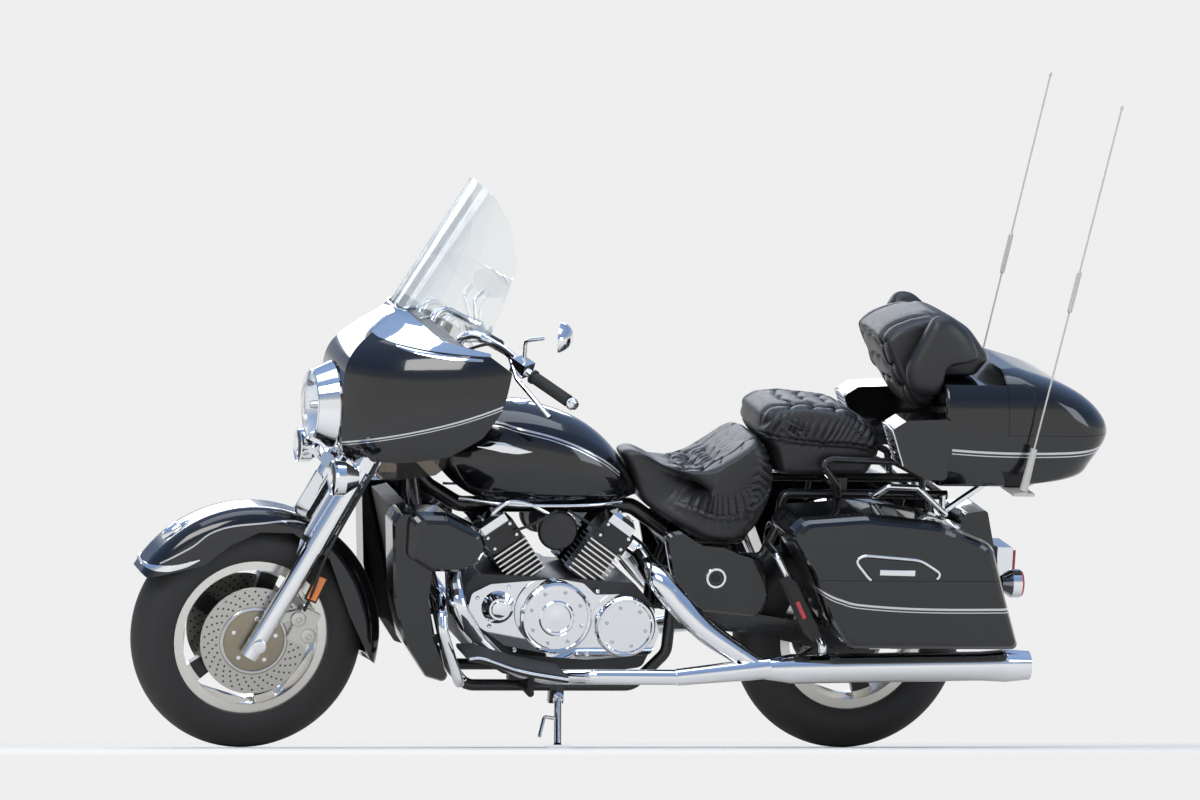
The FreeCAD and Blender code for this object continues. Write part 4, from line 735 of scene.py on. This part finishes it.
BUTTON_ROWS = ((412, 60, 846, (1, 0, -1)), (470, 60, 816, (1, 0, -1)), (528, 46, 812, (1, -1)))
BUTTONS = [(x, s * y, z) for x, y, z, places in BUTTON_ROWS for s in places]
cushion("rider_cushion", RIDER_OUT, rider_half, "rider_seat", rider_pleat, BUTTONS, skirt=rider_crest)

PASS_OUT = ((314, 976), (283, 996), (212, 1004), (69, 991), (-21, 936), (-38, 867), (-1, 799), (240, 797),
            (261.5, 801), (279.5, 869), (317, 916))


def pass_pleat(x, y, z, radial):
    """Cross folds along the top, a long seam each side, a welt below the top edge and gathers above it."""
    top = np.clip((radial[..., 1] - 0.2) * 4, 0, 1)
    wide = np.abs(y)
    quilt = quilting(x, wide, (30, 98, 166, 234), 112, 0.06, top)
    inside = pass_crest(x, z)
    side = np.clip((wide - 80) / 50, 0, 1)
    welt = bell(inside, 4.0) * side
    folds = gathers(x + 0.4 * z, inside, 34.0) * side
    return quilt + 6.0 * welt + 6.0 * folds


cushion("passenger_cushion", PASS_OUT, lambda x: np.full_like(x, 171.0), "passenger_seat", pass_pleat,
        skirt=pass_crest)

REST_OUT = ((-5, 1191), (-43, 1226), (-100, 1249), (-171, 1262), (-200, 1256), (-275, 1218), (-333, 1142),
            (-336, 1126), (-320, 1122), (-300, 1086), (-171, 1084), (-171, 990), (-120, 988), (-56, 1085))
WING_AROUND = 90
WING_OUT = ((-66, 1120), (-84, 1054), (-130, 1036), (-168, 1042), (-180, 1124), (-280, 1146), (-247, 1216),
            (-190, 1266), (-140, 1269))


def rest_pleat(x, y, z, radial):
    """Cross folds on the front of the backrest, a long seam on each side and gathers along the rear edge."""
    front = np.clip(radial[..., 0] * 4, 0, 1)
    wide = np.abs(y)
    quilt = quilting(z, wide, (1048, 1112, 1176), 112, 0.06, front)
    folds = gathers(z - 0.4 * x, x + 185.0, 30.0) * np.clip((wide - 60) / 50, 0, 1)
    return quilt + 5.0 * folds


cushion("backrest_cushion", REST_OUT, lambda x: np.full_like(x, 168.0), "backrest", rest_pleat,
        squeeze=(-150, 1140))
for side, tag in SIDES:
    loop = resample(WING_OUT, WING_AROUND, 9)
    t = np.linspace(-1, 1, 15) * 0.999
    shrink = 0.55 + 0.45 * np.sqrt(1 - t ** 2)
    level = side * (204 + 37.5 * t)
    x, z = shrunk(loop, loop.mean(0), shrink)
    grid = np.stack([x, np.repeat(level[:, None], WING_AROUND, 1), z], -1)
    wing = surface("backrest_wing_" + tag, grid, "chassis", "leather")

# Engine: cover rings, caps, bolts, small pipes.


def bolts(name, places, axis, size, height, body, material):
    """Round-headed screws as short turned heads, all in one mesh."""
    profile = (0, size), (0.7 * height, size), (height, 0.75 * size), (0.85 * height, 0.4 * size)
    head = revolve(profile, (0, 0, 0), axis, 10)
    points = np.vstack([head.reshape(-1, 3) + np.array(p, float) for p in places])
    faces = [[i + 40 * k for i in f] for k in range(len(places)) for f in grid_faces(*head.shape[:2])]
    return mesh_piece(name, points, faces, body, "chrome", material)


def circle_places(centre, radius, count, y, start):
    """Points at even steps of a circle on the side y."""
    a = np.linspace(0, 2 * math.pi, count, endpoint=False) + start
    return [(centre[0] + radius * math.cos(v), y, centre[1] + radius * math.sin(v)) for v in a]


CLUTCH_FACE, DRIVE_FACE, NOSE_FACE, RIM_FACE = 208.6, 196.6, 192.6, 162.4
RIM_BOLTS = ((1096, 458), (1010, 490), (760, 478), (620, 330), (985, 312), (780, 300), (1060, 380))
BANK_ANGLE = 35.0
HEAD_UP, HEAD_OUT, COVER_UP = 275, 47.2, 336.2
for side, tag in SIDES:
    out = (0, side, 0)
    face = side * CLUTCH_FACE
    ring_piece("clutch_ring_" + tag, ((0, 88), (6, 90), (8, 94), (3, 99.5), (0, 99.5)), (882, face, 412), out,
               "chassis", "chrome")
    turned("clutch_cap_" + tag, ((0, 0.1), (0, 50), (5, 50), (8, 46), (8, 40), (4, 38), (5, 20), (9, 0.1)),
           (882, face, 412), out, "chassis", "chrome")
    bolts("clutch_bolts_" + tag, circle_places((882, 412), 74, 8, face, 0.3), out, 5, 5, "chassis",
          "satin_chrome")
    mid_face = side * DRIVE_FACE
    ring_piece("drive_ring_" + tag, ((0, 70), (5, 73), (5, 79), (0, 83)), (682, mid_face, 385), out,
               "chassis", "chrome")
    bolts("drive_bolts_" + tag, circle_places((682, 385), 56, 6, mid_face, 0.2), out, 5, 5, "chassis",
          "satin_chrome")
    turned("nose_cap_" + tag, ((0, 0.1), (0, 24), (5, 22), (7, 12), (8, 0.1)), (1038, side * NOSE_FACE, 432),
           out, "chassis", "chrome", around=32)
    bolts("rim_bolts_" + tag, [(x, side * RIM_FACE, z) for x, z in RIM_BOLTS], out, 6, 5, "chassis", "chrome")
    sweep("breather_" + tag, [(1062, side * 142, 690), (1020, side * 148, 722), (960, side * 148, 716),
                              (905, side * 140, 690)], 6.5, "chassis", "chrome")
    sweep("coolant_" + tag, [(1250, side * 96, 640), (1190, side * 120, 640), (1120, side * 120, 610),
                             (1085, side * 128, 560)], 12, "chassis", "dark_plastic")
    sweep("plug_lead_" + tag, [(1000, side * 142, 640), (940, side * 156, 668), (880, side * 140, 700)], 4,
          "chassis", "dark_plastic")
    sweep("rear_lead_" + tag, [(745, side * 142, 640), (800, side * 156, 672), (850, side * 140, 700)], 4,
          "chassis", "dark_plastic")
    turned("air_cap_" + tag, ((0, 0.1), (0, 52), (10, 56), (20, 50), (24, 30), (25, 0.1)),
           (872, side * 112, 640), out, "chassis", "engine_black", "crank_metal", around=40)
    turned("intake_body_" + tag, ((-60, 0.1), (-60, 44), (0, 48), (0, 0.1)), (872, side * 112, 640), out,
           "chassis", "engine_black", "crank_metal", around=32)
    for bank, a in (("front", math.radians(BANK_ANGLE)), ("rear", -math.radians(BANK_ANGLE))):
        axis = np.array([math.sin(a), 0, math.cos(a)])
        across = np.array([math.cos(a), 0, -math.sin(a)])
        base = np.array([872, side * CYLINDER_OUT, 400.0])
        head = [base + axis * HEAD_UP + across * u + np.array([0, side * HEAD_OUT, 0]) + axis * v
                for u in (-36, 36) for v in (-18, 18)]
        bolts("head_bolts_%s_%s" % (bank, tag), head, out, 5.5, 5, "chassis", "chrome")
        cover = [base + axis * COVER_UP + across * u + np.array([0, v, 0])
                 for u in (-20, 20) for v in (-22, 22)]
        bolts("cover_bolts_%s_%s" % (bank, tag), cover, axis, 6, 6, "chassis", "satin_chrome")

    # Fork: chrome shroud plates, hose, reflector, caliper pistons, axle cap.
    outline = [(1537, 706), (1560, 664), (1590, 606), (1600, 560), (1582, 566), (1530, 640), (1500, 700),
               (1488, 738), (1508, 762)]
    plate("fork_shroud_" + tag, outline, side * 86, side * 91, "fork", "chrome", round_by=2.0)
    sweep("brake_hose_" + tag, [(1058, side * 236, 1150), (1130, side * 205, 1176), (1270, side * 130, 1080),
                                (1356, side * 150, 930), (1420, side * 165, 800), (1520, side * 158, 600),
                                (1560, side * 140, 470), (1572, side * 112, 412)], 4.2, "fork",
          "dark_plastic", per=10, around=10)
    plate("reflector_base_" + tag, [(1550, 522), (1516, 508), (1546, 436), (1580, 450)], side * 126,
          side * 134, "fork", "dark_plastic", round_by=2.0)
    plate("reflector_" + tag, [(1546, 516), (1521, 506), (1549, 443), (1574, 453)], side * 134.2, side * 138,
          "fork", "red_lens", "amber", round_by=2.0)
    for k, (px, pz) in enumerate(((1586, 386), (1556, 338))):
        turned("caliper_piston_%d_%s" % (k, tag), ((0, 0.1), (0, 21), (4, 21), (6, 18), (6, 8), (3, 6),
                                                   (3, 0.1)), (px, side * 106.2, pz), out, "fork",
               "cast_metal", around=28)
    turned("axle_cap_" + tag, ((0, 7), (0, 19), (6, 19), (9, 14), (9, 7)), (1705, side * 154.2, 323), out,
           "fork", "chrome", around=24)
    ring_piece("carrier_ring_" + tag, ((0.3, 84), (2.5, 86), (2.5, 92), (0.3, 94)), (1705, side * 90.5, 323),
               out, "front_wheel", "steel", "satin_chrome")
    turned("carrier_" + tag, ((0.3, 22), (2.5, 24), (2.5, 40), (1.8, 52), (1.8, 72), (0.3, 82)),
           (1705, side * 90.5, 323), out, "front_wheel", "steel", "discs_f", around=48)
    bolts("carrier_bolts_" + tag, circle_places((1705, 323), 62, 5, side * 91.5, 0.4), out, 6, 2.2,
          "front_wheel", "chrome")

    # Grip ends, mirror glass.
    grip = np.array([915.0, side * 395, 1043])
    along = np.array([-95.0, side * 130, -58])
    along /= np.linalg.norm(along)
    turned("grip_end_" + tag, ((0, 0.1), (0, 17.6), (8, 17.6), (12, 14), (13, 0.1)), grip + along * -24.5,
           along, "fork", "chrome", around=24)
    turned("grip_collar_" + tag, ((0, 12), (0, 20), (7, 20), (7, 12)),
           np.array([1010.0, side * 265, 1101]) + along, along, "fork", "dark_plastic", around=24)
    a = math.radians(-side * 22)
    cos, sin = math.cos(a), math.sin(a)
    ellipse = circle(np.array([72, 0]), np.array([0, 38.5]), 48)
    rings = []
    for scale, off in ((0.02, -10.3), (0.98, -10.3), (1.0, -10.7), (1.0, -11.4), (0.98, -11.8),
                       (0.02, -11.8)):
        y, z = (ellipse * scale).T
        rings.append(np.stack([976 + off * cos - y * sin, side * 361 + off * sin + y * cos, 1230 + z], 1))
    surface("mirror_glass_" + tag, np.array(rings), "fork", "chrome", "mirror_glass")

    # Speaker grilles, bag latch frames, rail trims, side cover ring.
    for k in range(9):
        z = 874 + k * 11.0
        x = -50 + (z - 862) * (38 / 106.0)
        sweep("grille_%d_%s" % (k, tag), [(x + 2, side * 212, z), (x + 2.5, side * 258, z),
                                          (x + 2, side * 304, z)], 2.6, "chassis", "chrome", per=3, around=8)
    sweep("grille_frame_" + tag, [(-12, side * 208, 966), (-10, side * 258, 970), (-12, side * 308, 966),
                                  (-48, side * 308, 866), (-50, side * 258, 860), (-48, side * 208, 866),
                                  (-12, side * 208, 966)], 3.4, "chassis", "chrome", per=4, smooth=False)
    loop = resample([(112, 628), (88, 643), (-74, 630), (-137, 592), (-118, 570), (62, 569)], 60)
    path = np.stack([loop[:, 0], np.full(60, side * 449.5), loop[:, 1]], 1)
    lid = "bag_lid_" + tag
    keep = path[:, 2] > 574
    first = int(np.argmax(~keep & np.roll(keep, -1))) + 1
    sweep("latch_frame_" + tag, np.roll(path, -first, 0)[:int(keep.sum())], 4.2, lid, "chrome", per=1,
          around=10)
    plate("latch_plate_" + tag, [(60, 578), (100, 622), (84, 636), (-72, 624), (-124, 590), (-112, 578)],
          side * 446.6, side * 449, lid, "black_paint", round_by=1.0)
    plate("latch_bar_" + tag, [(40, 588), (40, 604), (-60, 602), (-60, 586)], side * 449.2, side * 455, lid,
          "chrome", round_by=1.5)
    ring_piece("cover_ring_" + tag, ((0, 20), (4, 22), (4, 28), (0, 30)), (430, side * 178.1, 520), out,
               "chassis", "chrome", around=32)
    turned("cover_lock_" + tag, ((0, 0.1), (0, 12), (3, 12), (4, 0.1)), (430, side * 178.1, 520), out,
           "chassis", "dark_plastic", around=24)
    turned("signal_lens_" + tag, ((0, 0.1), (0, 38), (6, 36), (12, 20), (13, 0.1)), (-434.2, side * 200, 514),
           (-1, 0, 0), "chassis", "red_lens", around=32)
    ribbon("tank_badge_" + tag, "fuel_tank", [(1108, 872), (1082, 876), (1040, 872), (1000, 866), (962, 864)],
           side, (3, 22, 28, 20, 2), 3.0, "chassis", "chrome")
    ribbon("fairing_bar_" + tag, "fairing", [(1372, 1165), (1320, 1158), (1240, 1152), (1160, 1150)], side,
           (5, 11, 12, 6), 3.0, "fork", "chrome", steered=True)
    sweep("board_edge_" + tag, [(1160, side * 391.5, 338), (1118, side * 391.5, 338),
                                (1010, side * 391.5, 303), (880, side * 391.5, 281)], 4.0, "chassis",
          "chrome", per=5)
    sweep("tank_rail_" + tag, [(1150, side * 106, 724), (1000, side * 148, 715), (800, side * 140, 714),
                               (690, side * 96, 716)], 4.5, "chassis", "chrome", per=6)
    plate("board_reflector_" + tag, [(244, 500), (254, 495), (230, 448), (220, 453)], side * 380.4,
          side * 383, "chassis", "red_lens", round_by=1.0)

turned("fuel_cap", ((-6, 0.1), (-6, 34), (3, 34), (8, 30), (10, 12), (9, 0.1)), (975, 0, 974), (0, 0, 1),
       "chassis", "chrome", around=40)
plate("tail_lens", [(-58, 506), (58, 506), (58, 580), (-58, 580)], -458.3, -464, "chassis", "red_lens",
      round_by=2.0, axis=0)
for side, tag in SIDES:
    ribbon("fender_tip_" + tag, "front_fender", [(2012, 528), (1985, 527), (1950, 528), (1905, 538),
                                                 (1868, 552)], side, (8, 17, 18, 14, 4), 2.5, "fork",
           "chrome", steered=True)
    ribbon("fender_heel_" + tag, "front_fender", [(1432, 330), (1408, 296), (1384, 268), (1362, 250)], side,
           (4, 10, 13, 8), 2.5, "fork", "chrome", steered=True)
turned("fender_ornament", ((-50, 0.1), (-40, 11), (-12, 20), (14, 21), (34, 15), (46, 0.1)), (1918, 0, 612),
       (0.77, 0, -0.64), "fork", "chrome", around=32)


def shield(name, path, radius, spread, facing):
    """A thin curved plate round a pipe's outer side: arcs of the given radii along the path, 2 mm thick."""
    line = smooth_path(path)
    ahead = unit(np.gradient(line, axis=0))
    facing = np.array(facing, float)
    out = unit(facing - ahead * (ahead @ facing)[:, None])
    over = np.cross(ahead, out)
    arc = np.radians(np.linspace(-spread, spread, 15))
    angle = np.concatenate([arc, arc[::-1]])
    thick = np.concatenate([np.full(15, 2.0), np.zeros(15)])
    reach = spread_over(radius, len(line))[:, None] + thick
    grid = line[:, None] + reach[..., None] * (np.cos(angle)[None, :, None] * out[:, None] +
                                               np.sin(angle)[None, :, None] * over[:, None])
    return surface(name, grid, "chassis", "chrome")


for side, tag in SIDES:
    shield("pipe_shield_" + tag, [(618, side * 140, 548), (596, side * 206, 517), (548, side * 235, 462),
                                  (470, side * 274, 388), (380, side * 302, 330)], (27, 33, 34, 32, 27), 80,
           (0.35, side, 0.5))
    shield("header_shield_" + tag, [(1166, side * 208, 488), (1160, side * 226, 446), (1134, side * 215, 400),
                                    (1098, side * 201, 352)], (22.5, 27, 27, 22.5), 75, (0.5, side, 0.1))

# Stage: pale flat floor that fades into the backdrop's tone far off, soft lights, camera at the photograph's
# place.


def stage_mesh(name, points, faces, material):
    """A mesh of the stage, in row-frame metres."""
    mesh = bpy.data.meshes.new(name)
    mesh.from_pydata(points, [], faces)
    mesh.materials.append(material)
    obj = bpy.data.objects.new(name, mesh)
    bpy.context.scene.collection.objects.link(obj)


def floor_paint():
    """Pale floor that keeps the shadow near the object and fades into the backdrop's tone far from it."""
    material, tree, shader = new_material("floor")
    shader.inputs["Base Color"].default_value = (0.8, 0.8, 0.8, 1)
    add_wear(tree, shader, 3, 0.75, 0.05)
    coords = add(tree, "TexCoord")
    length = add(tree, "VectorMath")
    length.operation = "LENGTH"
    link(coords.outputs["Object"], length.inputs[0])
    far = times(minus(length.outputs["Value"], 2.2), 0.3, clamp=True)
    glow = add(tree, "Emission")
    glow.inputs["Color"].default_value = (0.86, 0.86, 0.86, 1)
    mix = add(tree, "MixShader")
    link(times(far, shown_rays(tree)), mix.inputs["Fac"])
    link(shader.outputs[0], mix.inputs[1])
    link(glow.outputs[0], mix.inputs[2])
    link(mix.outputs[0], tree.nodes["Material Output"].inputs["Surface"])
    return material


FAR = 60.0
stage_mesh("floor", [(-FAR, -FAR, 0), (FAR, -FAR, 0), (FAR, FAR, 0), (-FAR, FAR, 0)], [(0, 1, 2, 3)],
           floor_paint())


def area_light(name, place, aim, size, power, colour=(1, 1, 1)):
    """A rectangular light that faces its aim."""
    data = bpy.data.lights.new(name, "AREA")
    data.shape = "RECTANGLE"
    data.size, data.size_y = size
    data.energy = power
    data.color = colour
    obj = bpy.data.objects.new(name, data)
    obj.location = place
    obj.rotation_euler = (Vector(aim) - Vector(place)).to_track_quat("-Z", "Y").to_euler()
    bpy.context.scene.collection.objects.link(obj)


area_light("key", (3.2, 5.0, 5.2), (0, 0, 0.6), (4.4, 2.4), 230, (1.0, 0.98, 0.95))
area_light("fill", (-4.5, 4.0, 2.6), (0, 0, 0.7), (2.5, 2.5), 60, (0.85, 0.93, 1.0))
area_light("back", (0.5, -5.0, 4.0), (0, 0, 0.8), (6.0, 1.2), 120)
area_light("top", (0, 0.5, 6.0), (0, 0, 0), (6.4, 3.2), 130, (0.85, 0.93, 1.0))

world = bpy.data.worlds.new("studio")
bpy.context.scene.world = world
world.use_nodes = True
tree = world.node_tree
shade = tree.nodes["Background"]
coords = add(tree, "TexCoord")
split = add(tree, "SeparateXYZ")
link(coords.outputs["Generated"], split.inputs[0])
ramp = add(tree, "ValToRGB")
STOPS = ((0.0, (0.3, 0.3, 0.3)), (0.49, (0.80, 0.80, 0.80)), (0.5, (0.86, 0.86, 0.86)),
         (0.565, (0.86, 0.86, 0.86)), (0.61, (0.44, 0.49, 0.57)), (0.74, (0.20, 0.31, 0.54)),
         (1.0, (0.34, 0.47, 0.74)))
stops = ramp.color_ramp.elements
for stop, (position, colour) in zip(stops, (STOPS[0], STOPS[-1])):
    stop.position, stop.color = position, (*colour, 1)
for position, colour in STOPS[1:-1]:
    stops.new(position).color = (*colour, 1)
link(calc("MULTIPLY_ADD", split.outputs["Z"], 0.5, 0.5), ramp.inputs["Fac"])
link(blend(shown_rays(tree), (0.42, 0.42, 0.42), ramp.outputs["Color"]), shade.inputs["Color"])
shade.inputs["Strength"].default_value = 1.0

VIEW_ANGLE = math.radians(13.1)
VIEW_DISTANCE = 18141.2
VIEW_PITCH = math.radians(2.87)
FOCAL_PIXELS = 6496.5
PHOTO_WIDTH = 1200
camera_data = bpy.data.cameras.new("camera")
camera_data.sensor_width = 36
camera_data.lens = FOCAL_PIXELS / PHOTO_WIDTH * 36
camera_data.clip_end = 200
camera = bpy.data.objects.new("camera", camera_data)
ground_point = np.array([690.1 + VIEW_DISTANCE * math.sin(VIEW_ANGLE), VIEW_DISTANCE * math.cos(VIEW_ANGLE),
                         60.4])
camera.location = (ground_point + SHIFT * (1, 1, 0)) / 1000.0
forward = Vector((-math.sin(VIEW_ANGLE) * math.cos(VIEW_PITCH), -math.cos(VIEW_ANGLE) * math.cos(VIEW_PITCH),
                  math.sin(VIEW_PITCH)))
camera.rotation_euler = forward.to_track_quat("-Z", "Y").to_euler()
bpy.context.scene.collection.objects.link(camera)
bpy.context.scene.camera = camera
bpy.context.scene.view_settings.view_transform = "Standard"
